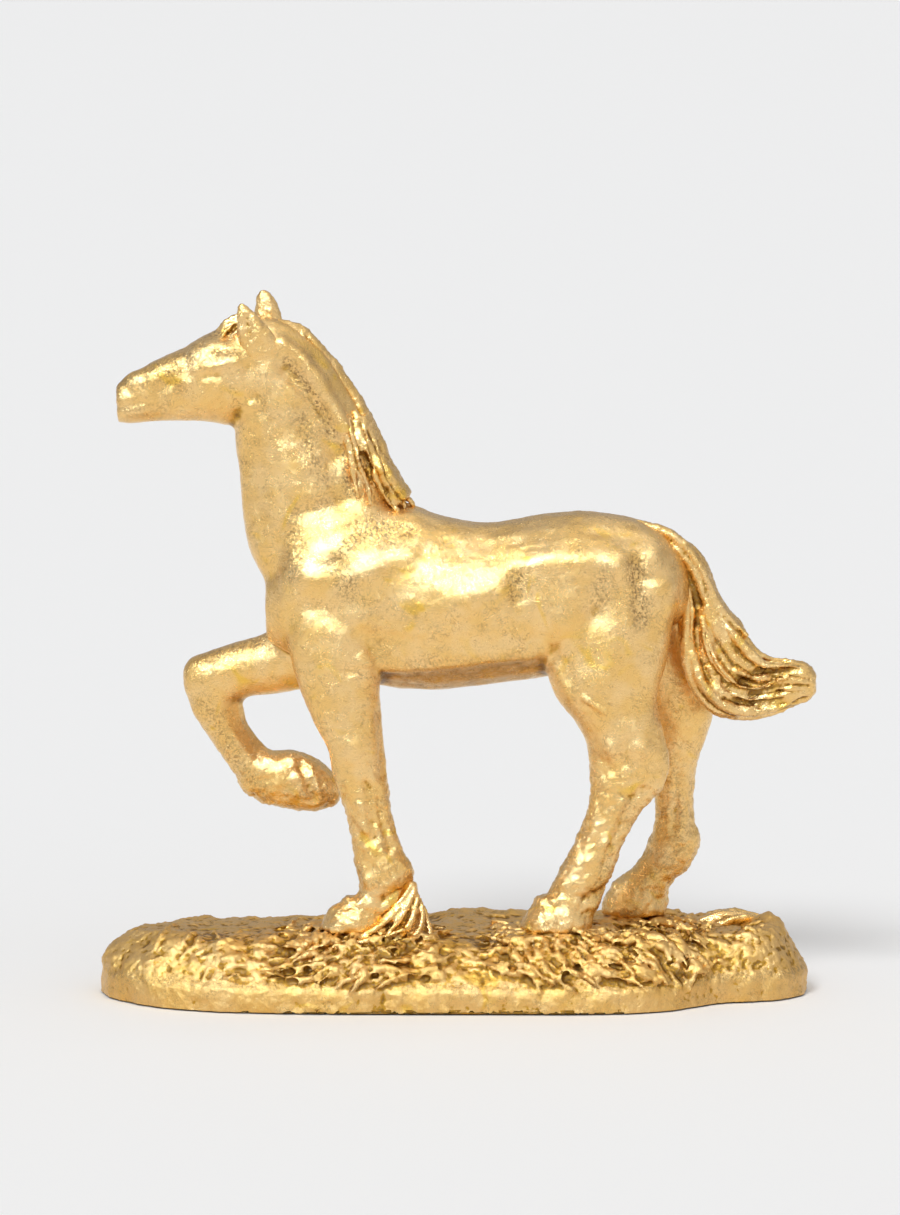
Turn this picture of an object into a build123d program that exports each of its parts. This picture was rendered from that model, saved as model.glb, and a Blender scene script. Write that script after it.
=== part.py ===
"""Standing horse figurine on a grassy ground, cast in sections and pinned together.

Frame: millimetres, +Z up, the horse faces -X and its left side faces -Y. The origin is under the
middle of the whole statuette, on the surface that its felt pad rests on.
"""
from build123d import *
from collections import namedtuple
from math import cos, radians, sin
import os

# Driving dimensions of the stand
FELT = 1.0                  # felt pad under the base
BOARD = 2.0                 # backing board in the base's underside
GROUND = 17.0               # flat ground that the hooves stand on
RIM = 6.5                   # top of the upright edge of the base
SLOPE_ACROSS = 9.0          # how far the slope runs in from the long edges
SLOPE_ALONG = 5.0           # and from the two ends
BASE_WALL = 5.0
CAVITY_TOP = 12.0
BOSS_FOOT = 8.2             # underside of the bosses that the studs pass through
REBATE_INSET = 3.0
BASE_LENGTH = 172.0
BASE_DEPTH = 62.0

# Driving dimensions of the horse's hidden fixings
FIT_GAP = 0.05              # radial gap round every dowel and stud
LEG_DOWEL_R = 2.2
LEG_DOWEL_L = 13.0
NECK_DOWEL_R = 4.0
NECK_DOWEL_L = 22.0
HEAD_DOWEL_R = 2.5
HEAD_DOWEL_L = 14.0
TAIL_DOWEL_R = 1.2
TAIL_DOWEL_L = 9.0
STUD_R = 2.0                # M4 studs from the hooves into the base
STUD_TOP = GROUND + 8.0
STUD_FOOT = 4.0
NUT_ACROSS = 7.0
NUT_H = 3.2
WASHER_R = 4.5
WASHER_T = 0.8
SCREW_R = 1.25              # M2.5 countersunk screws hold the board
SCREW_HEAD_R = 2.35
SCREW_HEAD_H = 1.3
SCREW_L = 7.0
BODY_WALL = 4.5             # wall of the hollow body casting

# An oval section: its centre, the way its plane faces in side view (degrees from +X), and its half
# sizes in that view and across the horse.
Oval = namedtuple("Oval", "x y z facing deep wide")

NECK_JOINT = Oval(-34, 0, 119.5, 111, 18.5, 10.0)
HEAD_JOINT = Oval(-49, 0, 150.5, 160, 13.6, 7.4)
FORE_LEFT_JOINT = Oval(-27.6, -10, 70, 270, 8.5, 6.3)
FORE_RIGHT_JOINT = Oval(-46, 9.5, 79.4, 190, 7.4, 6.2)
HIND_LEFT_JOINT = Oval(39.5, -10.5, 64, 270, 9.4, 6.4)
HIND_RIGHT_JOINT = Oval(52.6, 10.5, 62, 270, 7.6, 6.0)
TAIL_JOINT = Oval(62.6, 0, 90, 300, 4.9, 4.4)

BARREL = [
    Oval(-45.6, 0, 96, 0, 7, 6),
    Oval(-41, 0, 97, 0, 14, 11.5),
    Oval(-30, 0, 98, 0, 20.5, 15.5),
    Oval(-18, 0, 97.2, 0, 21.8, 16.2),
    Oval(-5, 0, 95.1, 0, 20.8, 17.4),
    Oval(8, 0, 95.3, 0, 19.1, 17.4),
    Oval(20, 0, 97, 0, 19.2, 16.8),
    Oval(32, 0, 98.6, 0, 18.3, 16.6),
    Oval(44, 0, 99.6, 0, 14.6, 14),
    Oval(51.5, 0, 99, 0, 9.5, 9),
    Oval(54.6, 0, 98, 0, 4.5, 4.5),
]
NECK_ROOT = [
    Oval(-27, 0, 98, 100, 17, 11),
    Oval(-30.5, 0, 109, 106, 19, 12),
    NECK_JOINT,
]
FORE_LEFT_ROOT = [
    Oval(-30.5, -6, 100, 270, 13, 8),
    Oval(-30, -8.5, 85, 270, 11, 7.6),
    FORE_LEFT_JOINT,
]
FORE_RIGHT_ROOT = [
    Oval(-30, 6.5, 88, 215, 10, 7.5),
    Oval(-38, 8.5, 82.5, 203, 8.6, 7.0),
    FORE_RIGHT_JOINT,
]
HIND_LEFT_ROOT = [
    Oval(36.5, -6.5, 101, 270, 16, 9),
    Oval(35.5, -8.5, 86, 270, 14.6, 8.6),
    Oval(36, -10, 73, 270, 11.0, 7.4),
    HIND_LEFT_JOINT,
]
HIND_RIGHT_ROOT = [
    Oval(38, 6.5, 101, 270, 15.5, 9),
    Oval(42.5, 8.5, 86, 270, 13.5, 8.4),
    Oval(49.5, 10, 72, 270, 10.2, 7.2),
    HIND_RIGHT_JOINT,
]
NECK = [
    NECK_JOINT,
    Oval(-36.3, 0, 129.5, 113, 16.8, 8.8),
    Oval(-39.5, 0, 138.5, 122, 15.2, 8.2),
    Oval(-43.6, 0, 146, 139, 14.2, 7.8),
    HEAD_JOINT,
]
HEAD = [
    HEAD_JOINT,
    Oval(-54.5, 0, 150.4, 172, 12.2, 7.4),
    Oval(-60, 0, 148.9, 180, 10.4, 7.0),
    Oval(-66, 0, 147.2, 187, 8.6, 5.8),
    Oval(-73, 0, 145.3, 190, 6.8, 4.8),
    Oval(-79, 0, 143.9, 188, 5.6, 4.6),
    Oval(-82.4, 0, 143.5, 184, 4.3, 3.6),
]
FORE_LEFT = [
    FORE_LEFT_JOINT,
    Oval(-25.4, -10.5, 61, 270, 6.8, 5.4),
    Oval(-23.6, -11, 52, 270, 6.2, 5.0),
    Oval(-21, -11.3, 43, 270, 5.1, 4.2),
    Oval(-19.4, -11.5, 36, 270, 5.4, 4.2),
    Oval(-18.2, -11.5, 31.5, 270, 6.2, 4.8),
    Oval(-20.4, -11.5, 26, 270, 5.0, 4.6),
]
FORE_LEFT_HOOF = [
    Oval(-23.2, -11.5, 26, 270, 5.2, 5.0),
    Oval(-26.4, -11.5, GROUND, 270, 7.0, 6.6),
]
FORE_RIGHT = [
    FORE_RIGHT_JOINT,
    Oval(-53, 10, 77.4, 193, 6.8, 5.8),
    Oval(-59.3, 10.2, 73.1, 238, 7.9, 5.4),
    Oval(-56.4, 10.4, 64, 292, 5.1, 4.3),
    Oval(-51.6, 10.5, 56, 302, 4.9, 4.2),
    Oval(-47.2, 10.5, 51.4, 322, 6.0, 4.8),
    Oval(-41.4, 10.5, 49.8, 350, 6.7, 5.4),
    Oval(-35.5, 10.5, 49, 352, 6.2, 6.0),
    Oval(-31, 10.5, 48, 352, 3.4, 3.8),
]
HIND_LEFT = [
    HIND_LEFT_JOINT,
    Oval(40.6, -10.8, 57, 270, 9.3, 5.4),
    Oval(39.5, -11.2, 51, 270, 8.1, 5.0),
    Oval(36.6, -11.4, 45.5, 270, 6.2, 4.2),
    Oval(33.2, -11.5, 38, 270, 5.7, 4.0),
    Oval(30.4, -11.5, 32, 270, 6.3, 4.8),
    Oval(27.4, -11.5, 26, 270, 6.4, 4.8),
]
HIND_LEFT_HOOF = [
    Oval(25.6, -11.5, 26, 270, 6.3, 5.2),
    Oval(23.4, -11.5, GROUND, 270, 7.8, 6.8),
]
HIND_RIGHT = [
    HIND_RIGHT_JOINT,
    Oval(51.2, 10.9, 54, 270, 5.6, 5.0),
    Oval(51.5, 11.2, 47, 270, 4.6, 4.1),
    Oval(51.3, 11.4, 40, 270, 4.9, 4.0),
    Oval(50.9, 11.5, 34.5, 270, 6.0, 4.8),
    Oval(47.2, 11.5, 28.5, 270, 6.0, 4.8),
    Oval(44, 11.5, 24.5, 270, 6.0, 4.8),
]
HIND_RIGHT_HOOF = [
    Oval(43.4, 11.5, 25.5, 270, 6.4, 5.2),
    Oval(41.8, 11.5, GROUND, 270, 7.8, 6.8),
]
TAIL_DOCK = [
    Oval(46.6, 0, 109.6, 335, 3.2, 3.0),
    Oval(51.8, 0, 107.2, 322, 4.0, 3.8),
    Oval(56.6, 0, 101.8, 304, 4.4, 4.2),
    Oval(59.8, 0, 95.6, 298, 4.6, 4.4),
    TAIL_JOINT,
]
TAIL_SWITCH = [
    TAIL_JOINT,
    Oval(65.0, 0, 82, 303, 7.6, 5.4),
    Oval(69.5, 0, 76, 322, 8.4, 6.0),
    Oval(75, 0, 74.2, 350, 6.8, 5.6),
    Oval(81, 0, 75.4, 4, 5.6, 4.6),
    Oval(85.8, 0, 75.8, 4, 3.4, 2.8),
]
MANE_CREST = [
    Oval(-42.5, 0.4, 160.5, 330, 3.0, 2.2),
    Oval(-35.5, 0.8, 156, 322, 4.2, 2.8),
    Oval(-29, 1.2, 148.5, 308, 4.4, 3.0),
    Oval(-24.2, 1.2, 139, 296, 4.4, 3.0),
]
MANE_LOCKS = [
    Oval(-23.9, 0, 138.4, 296, 4.4, 5.6),
    Oval(-20.6, 0, 131, 294, 4.6, 7.2),
    Oval(-17.2, 0, 124.5, 300, 4.4, 7.4),
    Oval(-13.6, 0, 119.2, 310, 2.6, 5.0),
]
FORELOCK = [
    Oval(-47.5, 0, 162.4, 185, 1.8, 2.2),
    Oval(-52, 0, 161.8, 190, 2.8, 3.4),
    Oval(-56, 0, 160.6, 205, 2.6, 3.0),
    Oval(-59, 0, 158.6, 215, 1.2, 1.4),
]
EAR_LEFT = [
    Oval(-49, -5.2, 156, 115, 2.8, 2.0),
    Oval(-50.4, -5.8, 161.5, 108, 2.9, 1.9),
    Oval(-52, -5.6, 166.6, 105, 0.9, 0.8),
]
EAR_RIGHT = [
    Oval(-45.6, 4.8, 160, 100, 2.9, 2.1),
    Oval(-46.2, 5.4, 165, 98, 2.8, 1.8),
    Oval(-47, 5.4, 169.6, 95, 1.2, 1.0),
]
STUDDED_HOOVES = [(-25.0, -11.5), (25.0, -11.5), (42.6, 11.5)]
BOARD_SCREWS = [(-66, -9), (-66, 9), (58, -6), (62, 12)]


def oval_plane(oval):
    """Plane of an oval section, its x direction lying in side view."""
    turn = radians(oval.facing)
    return Plane(
        origin=(oval.x, oval.y, oval.z),
        x_dir=(-sin(turn), 0, cos(turn)),
        z_dir=(cos(turn), 0, sin(turn)),
    )


def oval_face(oval, shrink=0):
    """Face of an oval section, drawn in by shrink on every side."""
    with BuildSketch(oval_plane(oval)) as section:
        Ellipse(oval.deep - shrink, oval.wide - shrink)
    return section.sketch.face()


def limb(ovals, mode=Mode.ADD, shrink=0, straight=False):
    """Lofts a solid through oval sections into the part being built."""
    loft(sections=[oval_face(o, shrink) for o in ovals], ruled=straight, mode=mode)


def pin_hole(joint, radius, length):
    """Cuts a dowel's hole to both sides of a joint."""
    with Locations(oval_plane(joint)):
        Cylinder(radius + FIT_GAP, length + 2 * FIT_GAP, mode=Mode.SUBTRACT)


def make_dowel(joint, radius, length):
    """Plain round pin across a joint."""
    with BuildPart() as dowel:
        with Locations(oval_plane(joint)):
            Cylinder(radius, length)
        chamfer(dowel.edges().filter_by(GeomType.CIRCLE), radius / 5)
    return dowel


def ground_face(inset, height, inset_along=None):
    """Outline of the rocky ground at a height, drawn in by inset, or by another amount at its ends."""
    across = 1 - 2 * inset / BASE_DEPTH
    along = 1 - 2 * (inset if inset_along is None else inset_along) / BASE_LENGTH
    shore = [
        (-86, 0), (-82, -12), (-71, -22.5), (-55, -28), (-30, -30.2), (0, -30.4), (36, -30.2),
        (50, -26), (61, -17.5), (71, -14.5), (79, -10.5), (83.5, -1), (82.5, 9), (76, 19),
        (62, 26), (42, 29.8), (18, 30.8), (-8, 31), (-32, 30.5), (-56, 28), (-73, 23), (-82.5, 13),
    ]
    with BuildSketch(Plane.XY.offset(height)) as outline:
        with BuildLine():
            Spline([(along * x, across * y) for x, y in shore], periodic=True)
        make_face()
    return outline.sketch.face()


def grass_tuft(blades):
    """Clump of leaning pointed blades: each has its root, its tip and its width at the root."""
    with BuildPart() as tuft:
        for root, tip, width in blades:
            lean = Vector(*tip) - Vector(*root)
            with BuildSketch(Plane(origin=root, z_dir=(0, 0, 1))) as foot:
                Ellipse(width, width * 0.6)
            with BuildSketch(Plane(origin=tip, z_dir=(0, 0, 1))) as point:
                Ellipse(width * 0.3, width * 0.2)
            middle = Vector(*root) + lean * 0.55
            with BuildSketch(Plane(origin=middle, z_dir=(0, 0, 1))) as waist:
                Ellipse(width * 0.8, width * 0.5)
            loft(sections=[foot.sketch.face(), waist.sketch.face(), point.sketch.face()])
    return tuft


def keep(piece, name):
    """Labels a finished piece and writes its STEP file."""
    piece.part.label = name
    export_step(piece.part, f"parts/{name}.step")


os.makedirs("parts", exist_ok=True)

# Body: hollow casting from chest to rump with the roots of neck and legs
with BuildPart() as torso_casting:
    limb(BARREL)
    for root in (NECK_ROOT, FORE_LEFT_ROOT, FORE_RIGHT_ROOT, HIND_LEFT_ROOT, HIND_RIGHT_ROOT):
        limb(root)
    limb(BARREL[2:-2], mode=Mode.SUBTRACT, shrink=BODY_WALL)
    pin_hole(NECK_JOINT, NECK_DOWEL_R, NECK_DOWEL_L)
    for joint in (FORE_LEFT_JOINT, FORE_RIGHT_JOINT, HIND_LEFT_JOINT, HIND_RIGHT_JOINT):
        pin_hole(joint, LEG_DOWEL_R, LEG_DOWEL_L)
keep(torso_casting, "torso_casting")

with BuildPart() as neck_casting:
    limb(NECK)
    pin_hole(NECK_JOINT, NECK_DOWEL_R, NECK_DOWEL_L)
    pin_hole(HEAD_JOINT, HEAD_DOWEL_R, HEAD_DOWEL_L)
keep(neck_casting, "neck_casting")

with BuildPart() as head_casting:
    limb(HEAD)
    pin_hole(HEAD_JOINT, HEAD_DOWEL_R, HEAD_DOWEL_L)
keep(head_casting, "head_casting")

# Ears, forelock and mane are modelled on: each is cut away where it sits on head, neck or body
for name, ovals in (("ear_left", EAR_LEFT), ("ear_right", EAR_RIGHT)):
    with BuildPart() as ear:
        limb(ovals)
        add(head_casting.part, mode=Mode.SUBTRACT)
        add(neck_casting.part, mode=Mode.SUBTRACT)
    keep(ear, name)

with BuildPart() as forelock:
    limb(FORELOCK)
    add(head_casting.part, mode=Mode.SUBTRACT)
    add(neck_casting.part, mode=Mode.SUBTRACT)
keep(forelock, "forelock")

with BuildPart() as mane_crest:
    limb(MANE_CREST)
    add(neck_casting.part, mode=Mode.SUBTRACT)
    add(head_casting.part, mode=Mode.SUBTRACT)
keep(mane_crest, "mane_crest")

with BuildPart() as mane_locks:
    limb(MANE_LOCKS)
    add(neck_casting.part, mode=Mode.SUBTRACT)
    add(torso_casting.part, mode=Mode.SUBTRACT)
    add(mane_crest.part, mode=Mode.SUBTRACT)
keep(mane_locks, "mane_locks")

# Legs: each is pinned to its root on the body, and the standing ones have a stud in the hoof
STANDING = (
    ("foreleg_left", FORE_LEFT, FORE_LEFT_HOOF, FORE_LEFT_JOINT, STUDDED_HOOVES[0]),
    ("hind_leg_left", HIND_LEFT, HIND_LEFT_HOOF, HIND_LEFT_JOINT, STUDDED_HOOVES[1]),
    ("hind_leg_right", HIND_RIGHT, HIND_RIGHT_HOOF, HIND_RIGHT_JOINT, STUDDED_HOOVES[2]),
)
legs = []
for name, ovals, hoof, joint, stud in STANDING:
    with BuildPart() as leg:
        limb(ovals)
        limb(hoof, straight=True)
        pin_hole(joint, LEG_DOWEL_R, LEG_DOWEL_L)
        with Locations((*stud, GROUND)):
            Cylinder(
                STUD_R + FIT_GAP, STUD_TOP - GROUND + FIT_GAP,
                align=(Align.CENTER, Align.CENTER, Align.MIN), mode=Mode.SUBTRACT,
            )
    keep(leg, name)
    legs.append(leg)

with BuildPart() as foreleg_right:
    limb(FORE_RIGHT)
    pin_hole(FORE_RIGHT_JOINT, LEG_DOWEL_R, LEG_DOWEL_L)
keep(foreleg_right, "foreleg_right")

# Tail in two castings
with BuildPart() as tail_dock:
    limb(TAIL_DOCK)
    add(torso_casting.part, mode=Mode.SUBTRACT)
    pin_hole(TAIL_JOINT, TAIL_DOWEL_R, TAIL_DOWEL_L)
keep(tail_dock, "tail_dock")

with BuildPart() as tail_switch:
    limb(TAIL_SWITCH)
    pin_hole(TAIL_JOINT, TAIL_DOWEL_R, TAIL_DOWEL_L)
keep(tail_switch, "tail_switch")

# Dowels hidden in the joints
DOWELS = (
    ("neck_dowel", NECK_JOINT, NECK_DOWEL_R, NECK_DOWEL_L),
    ("head_dowel", HEAD_JOINT, HEAD_DOWEL_R, HEAD_DOWEL_L),
    ("foreleg_left_dowel", FORE_LEFT_JOINT, LEG_DOWEL_R, LEG_DOWEL_L),
    ("foreleg_right_dowel", FORE_RIGHT_JOINT, LEG_DOWEL_R, LEG_DOWEL_L),
    ("hind_leg_left_dowel", HIND_LEFT_JOINT, LEG_DOWEL_R, LEG_DOWEL_L),
    ("hind_leg_right_dowel", HIND_RIGHT_JOINT, LEG_DOWEL_R, LEG_DOWEL_L),
    ("tail_dowel", TAIL_JOINT, TAIL_DOWEL_R, TAIL_DOWEL_L),
)
for name, joint, radius, length in DOWELS:
    keep(make_dowel(joint, radius, length), name)

# Base: hollow ground casting, open below, with bosses for the studs and the board's screws
with BuildPart() as base_casting:
    loft(sections=[ground_face(0.8, FELT), ground_face(0, RIM)])
    loft(sections=[ground_face(0, RIM), ground_face(SLOPE_ACROSS, GROUND, SLOPE_ALONG)])
    loft(sections=[ground_face(BASE_WALL, FELT), ground_face(BASE_WALL + 4, CAVITY_TOP)], mode=Mode.SUBTRACT)
    extrude(ground_face(REBATE_INSET, FELT), amount=BOARD, mode=Mode.SUBTRACT)
    with Locations(*[(x, y, BOSS_FOOT) for x, y in STUDDED_HOOVES]):
        Cylinder(6, CAVITY_TOP - BOSS_FOOT, align=(Align.CENTER, Align.CENTER, Align.MIN))
    with Locations(*[(x, y, FELT + BOARD) for x, y in BOARD_SCREWS]):
        Cylinder(3.2, CAVITY_TOP - FELT - BOARD, align=(Align.CENTER, Align.CENTER, Align.MIN))
    with Locations(*[(x, y, 0) for x, y in STUDDED_HOOVES]):
        Cylinder(STUD_R + FIT_GAP, GROUND + 1, align=(Align.CENTER, Align.CENTER, Align.MIN), mode=Mode.SUBTRACT)
    with Locations(*[(x, y, FELT) for x, y in BOARD_SCREWS]):
        Cylinder(
            SCREW_R + FIT_GAP, SCREW_L + 0.5,
            align=(Align.CENTER, Align.CENTER, Align.MIN), mode=Mode.SUBTRACT,
        )
keep(base_casting, "base_casting")

with BuildPart() as bottom_board:
    extrude(ground_face(REBATE_INSET + 0.3, FELT), amount=BOARD)
    with Locations(*[Location((x, y, FELT), (180, 0, 0)) for x, y in BOARD_SCREWS]):
        CounterSinkHole(SCREW_R + FIT_GAP, SCREW_HEAD_R + FIT_GAP)
keep(bottom_board, "bottom_board")

with BuildPart() as board_screws:
    with Locations(*[(x, y, FELT + 0.05) for x, y in BOARD_SCREWS]):
        Cone(SCREW_HEAD_R - 0.2, SCREW_R, SCREW_HEAD_H, align=(Align.CENTER, Align.CENTER, Align.MIN))
        Cylinder(SCREW_R, SCREW_L, align=(Align.CENTER, Align.CENTER, Align.MIN))
        Box(2.6, 0.5, 1.0, mode=Mode.SUBTRACT)
keep(board_screws, "board_screws")

with BuildPart() as felt_pad:
    extrude(ground_face(2.0, 0), amount=FELT)
keep(felt_pad, "felt_pad")

# Studs, washers and nuts that clamp the hooves to the base
for name, (x, y) in zip(("fore_left", "hind_left", "hind_right"), STUDDED_HOOVES):
    with BuildPart() as stud:
        with Locations((x, y, STUD_FOOT)):
            Cylinder(STUD_R, STUD_TOP - STUD_FOOT, align=(Align.CENTER, Align.CENTER, Align.MIN))
        chamfer(stud.edges().filter_by(GeomType.CIRCLE), 0.4)
    keep(stud, f"hoof_stud_{name}")

with BuildPart() as stud_washers:
    with Locations(*[(x, y, BOSS_FOOT) for x, y in STUDDED_HOOVES]):
        Cylinder(WASHER_R, WASHER_T, align=(Align.CENTER, Align.CENTER, Align.MAX))
        Cylinder(STUD_R + 3 * FIT_GAP, 4 * WASHER_T, mode=Mode.SUBTRACT)
keep(stud_washers, "stud_washers")

with BuildPart() as stud_nuts:
    with BuildSketch(Plane.XY.offset(BOSS_FOOT - WASHER_T)):
        with Locations(*STUDDED_HOOVES):
            RegularPolygon(NUT_ACROSS / 2, 6, major_radius=False)
            Circle(STUD_R + FIT_GAP, mode=Mode.SUBTRACT)
    extrude(amount=-NUT_H)
keep(stud_nuts, "stud_nuts")

# Grass that was modelled round the feet after they were fixed
FORE_TUFT = [
    ((-17, -14, GROUND), (-13.5, -14, 26), 2.6),
    ((-14, -12, GROUND), (-11.5, -11, 29), 2.8),
    ((-12, -9, GROUND), (-9.5, -8, 24), 2.6),
    ((-16, -8, GROUND), (-14, -6.5, 24), 2.6),
    ((-13, -15, GROUND), (-9.5, -15.5, 22), 2.4),
    ((-18, -16.5, GROUND), (-17, -17.5, 21), 2.2),
]
HIND_TUFT = [
    ((62, 14, GROUND - 0.8), (60, 15, 20.5), 3.2),
    ((66, 12, GROUND - 0.8), (65.5, 12, 21), 3.4),
    ((70, 13, GROUND - 0.8), (71.5, 14, 20), 3.2),
    ((66, 9, GROUND - 0.8), (67, 7.5, 19.6), 2.8),
]
for name, blades, neighbours in (
    ("grass_tuft_fore", FORE_TUFT, (legs[0], base_casting)),
    ("grass_tuft_hind", HIND_TUFT, (legs[2], base_casting)),
):
    tuft = grass_tuft(blades)
    with tuft:
        for neighbour in neighbours:
            add(neighbour.part, mode=Mode.SUBTRACT)
    keep(tuft, name)
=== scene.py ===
import math
import random

import bpy
import numpy as np
from mathutils import Matrix, Vector


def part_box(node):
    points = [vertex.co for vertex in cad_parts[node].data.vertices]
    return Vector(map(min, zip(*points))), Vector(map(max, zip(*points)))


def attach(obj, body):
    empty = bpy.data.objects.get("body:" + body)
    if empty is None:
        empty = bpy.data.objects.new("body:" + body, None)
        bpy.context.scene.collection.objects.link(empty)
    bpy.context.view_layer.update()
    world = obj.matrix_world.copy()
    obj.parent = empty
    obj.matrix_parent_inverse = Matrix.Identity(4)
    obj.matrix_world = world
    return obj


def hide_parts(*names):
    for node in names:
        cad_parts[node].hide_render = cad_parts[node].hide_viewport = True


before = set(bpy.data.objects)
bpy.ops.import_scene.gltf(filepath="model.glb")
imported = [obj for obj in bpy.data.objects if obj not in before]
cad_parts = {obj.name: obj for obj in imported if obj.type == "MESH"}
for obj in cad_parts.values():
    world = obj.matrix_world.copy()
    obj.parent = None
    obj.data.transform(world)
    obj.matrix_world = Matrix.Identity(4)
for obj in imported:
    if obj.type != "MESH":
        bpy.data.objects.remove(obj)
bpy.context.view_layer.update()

MM = 0.001


# ------------------------------------------------------------------ the studio
# A wide sheet of pale grey board in a pale room, with nothing on it but the statuette. A soft
# lamp stands above the viewer's left shoulder, a broad one overhead and a weak one to the right,
# and a small cool window beside the first lamp shows only as a glint in the gloss.

# Metres, but for the sensor, which is in millimetres.
BOARD_SIDE = 80.0
BOARD_DROP = 0.02 * MM
BOARD_GREY = (0.94, 0.94, 0.94, 1)
ROOM_LIGHT = 0.47
SOFT_LAMPS = (
    # name, towards the lamp, strength, width of the lamp in the sky in degrees
    ("key_lamp", (-0.42, -0.80, 0.92), 1.28, 19),
    ("top_lamp", (0.25, -0.10, 1.00), 0.45, 60),
    ("fill_lamp", (0.75, -0.80, 0.40), 0.20, 50),
    ("glint_lamp", (-0.42, -0.80, 0.86), 2.00, 6),
)
COOL_DAYLIGHT = (0.48, 0.70, 1.0)
LOOK_AT = Vector((-2.4, 0, 93.6)) * MM
LOOK_DOWN = math.radians(7)
LOOK_FROM = 1.40
VIEW_HEIGHT = 0.2916
SENSOR = 36.0
NEAREST_SEEN = 0.05
FARTHEST_SEEN = 200


def plain_material(name, colour, roughness, metallic=0.0):
    """One finish of one even colour, as a start for the pieces that build on it."""
    material = bpy.data.materials.new(name)
    material.use_nodes = True
    shader = material.node_tree.nodes["Principled BSDF"]
    shader.inputs["Base Color"].default_value = colour
    shader.inputs["Roughness"].default_value = roughness
    shader.inputs["Metallic"].default_value = metallic
    return material


bpy.ops.object.select_all(action="DESELECT")
bpy.ops.mesh.primitive_plane_add(size=BOARD_SIDE, location=(0, 0, -BOARD_DROP))
studio_board = bpy.context.object
studio_board.name = "studio_board"
bpy.ops.object.transform_apply(location=True, rotation=True, scale=True)
studio_board.data.materials.append(plain_material("pale_board", BOARD_GREY, 0.9))

room = bpy.data.worlds.new("pale_room")
room.use_nodes = True
room.node_tree.nodes["Background"].inputs["Color"].default_value = (1, 1, 1, 1)
room.node_tree.nodes["Background"].inputs["Strength"].default_value = ROOM_LIGHT
bpy.context.scene.world = room
bpy.context.scene.view_settings.view_transform = "Standard"

for lamp_name, towards, strength, width in SOFT_LAMPS:
    bpy.ops.object.light_add(type="SUN", location=(0, 0, 1))
    lamp = bpy.context.object
    lamp.name = lamp_name
    lamp.rotation_euler = Vector(towards).to_track_quat("Z", "Y").to_euler()
    lamp.data.energy = strength
    lamp.data.angle = math.radians(width)
    if lamp_name == "glint_lamp":
        lamp.data.color = COOL_DAYLIGHT
        lamp.visible_diffuse = False

away = Vector((0, -math.cos(LOOK_DOWN), math.sin(LOOK_DOWN)))
bpy.ops.object.camera_add(location=LOOK_AT + LOOK_FROM * away)
camera = bpy.context.object
camera.name = "viewer"
camera.rotation_euler = away.to_track_quat("Z", "Y").to_euler()
camera.data.sensor_width = SENSOR
camera.data.lens = SENSOR * LOOK_FROM / VIEW_HEIGHT
camera.data.clip_start = NEAREST_SEEN
camera.data.clip_end = FARTHEST_SEEN
bpy.context.scene.camera = camera


# ------------------------------------------------------------------- the horse
# Body, neck, head and legs are castings taken from one clay model, pinned together, chased over
# the joins and gilded. So the whole horse is modelled as one skin, sawn apart at the pinned
# joints, and each piece is closed with a flat face where it meets the next.

# Each row is an oval cut through the clay: x, y, z, the way it faces in the side view in
# degrees, and its half sizes up the side view and across, all in millimetres.
NECK_JOINT = (-34.3, 0, 119.4, 111, 18.8, 10)
HEAD_JOINT = (-49.2, 0, 150.3, 160, 13.9, 7.4)
FORE_LEFT_JOINT = (-27.6, -10, 70, 270, 8.8, 6.3)
FORE_RIGHT_JOINT = (-46, 9.5, 78.7, 190, 7.5, 6.2)
HIND_LEFT_JOINT = (39.3, -10.5, 64, 270, 9.7, 6.4)
HIND_RIGHT_JOINT = (52.8, 10.5, 62, 270, 7.6, 6)

BARREL = [
    (-46.5, 0, 94, 0, 8, 6.5), (-43.8, 0, 95.6, 0, 11.6, 9.6), (-41, 0, 97, 0, 14.4, 12),
    (-30, 0, 98, 0, 20.5, 15.5),
    (-18, 0, 97.2, 0, 22.8, 16.2), (-11, 0, 96.2, 0, 22.3, 16.9), (-5, 0, 94.8, 0, 21.1, 17.4),
    (8, 0, 94.7, 0, 19.6, 17.4), (20, 0, 96.6, 0, 19.7, 16.8), (32, 0, 98.6, 0, 18.3, 16.6),
    (44, 0, 99.6, 0, 14.8, 14), (51.5, 0, 99, 0, 9.8, 9), (54.8, 0, 98, 0, 4.5, 4.5),
]
NECK_AND_HEAD = [
    (-27, 0, 98, 100, 17, 11), (-30.5, 0, 109, 106, 19.2, 12), NECK_JOINT,
    (-36.8, 0, 129.3, 113, 17.3, 8.8), (-40, 0, 138.2, 122, 15.8, 8.2),
    (-44, 0, 145.5, 139, 15.2, 7.8), HEAD_JOINT, (-54.5, 0, 150, 172, 12.6, 7.4),
    (-60, 0, 148.9, 180, 10.6, 7), (-66, 0, 147.1, 187, 8.7, 5.9), (-73, 0, 145.3, 190, 7, 4.9),
    (-78.8, 0, 143.3, 187, 5.6, 4.7), (-82, 0, 142.8, 182, 4.5, 3.7),
]
FORE_LEFT = [
    (-30.5, -6, 100, 270, 13, 8), (-30, -8.5, 85, 270, 11.2, 7.6), FORE_LEFT_JOINT,
    (-24.9, -10.5, 61, 270, 6.9, 5.4), (-23.4, -11, 52, 270, 6.4, 5), (-21.2, -11.3, 43, 270, 5.4, 4.2),
    (-19.5, -11.5, 36, 270, 6.1, 4.3), (-18, -11.5, 31.5, 270, 7.1, 5),
    (-18.6, -11.5, 26, 270, 5.8, 4.7), (-22.6, -11.5, 20, 270, 5.2, 4.6),
]
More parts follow.
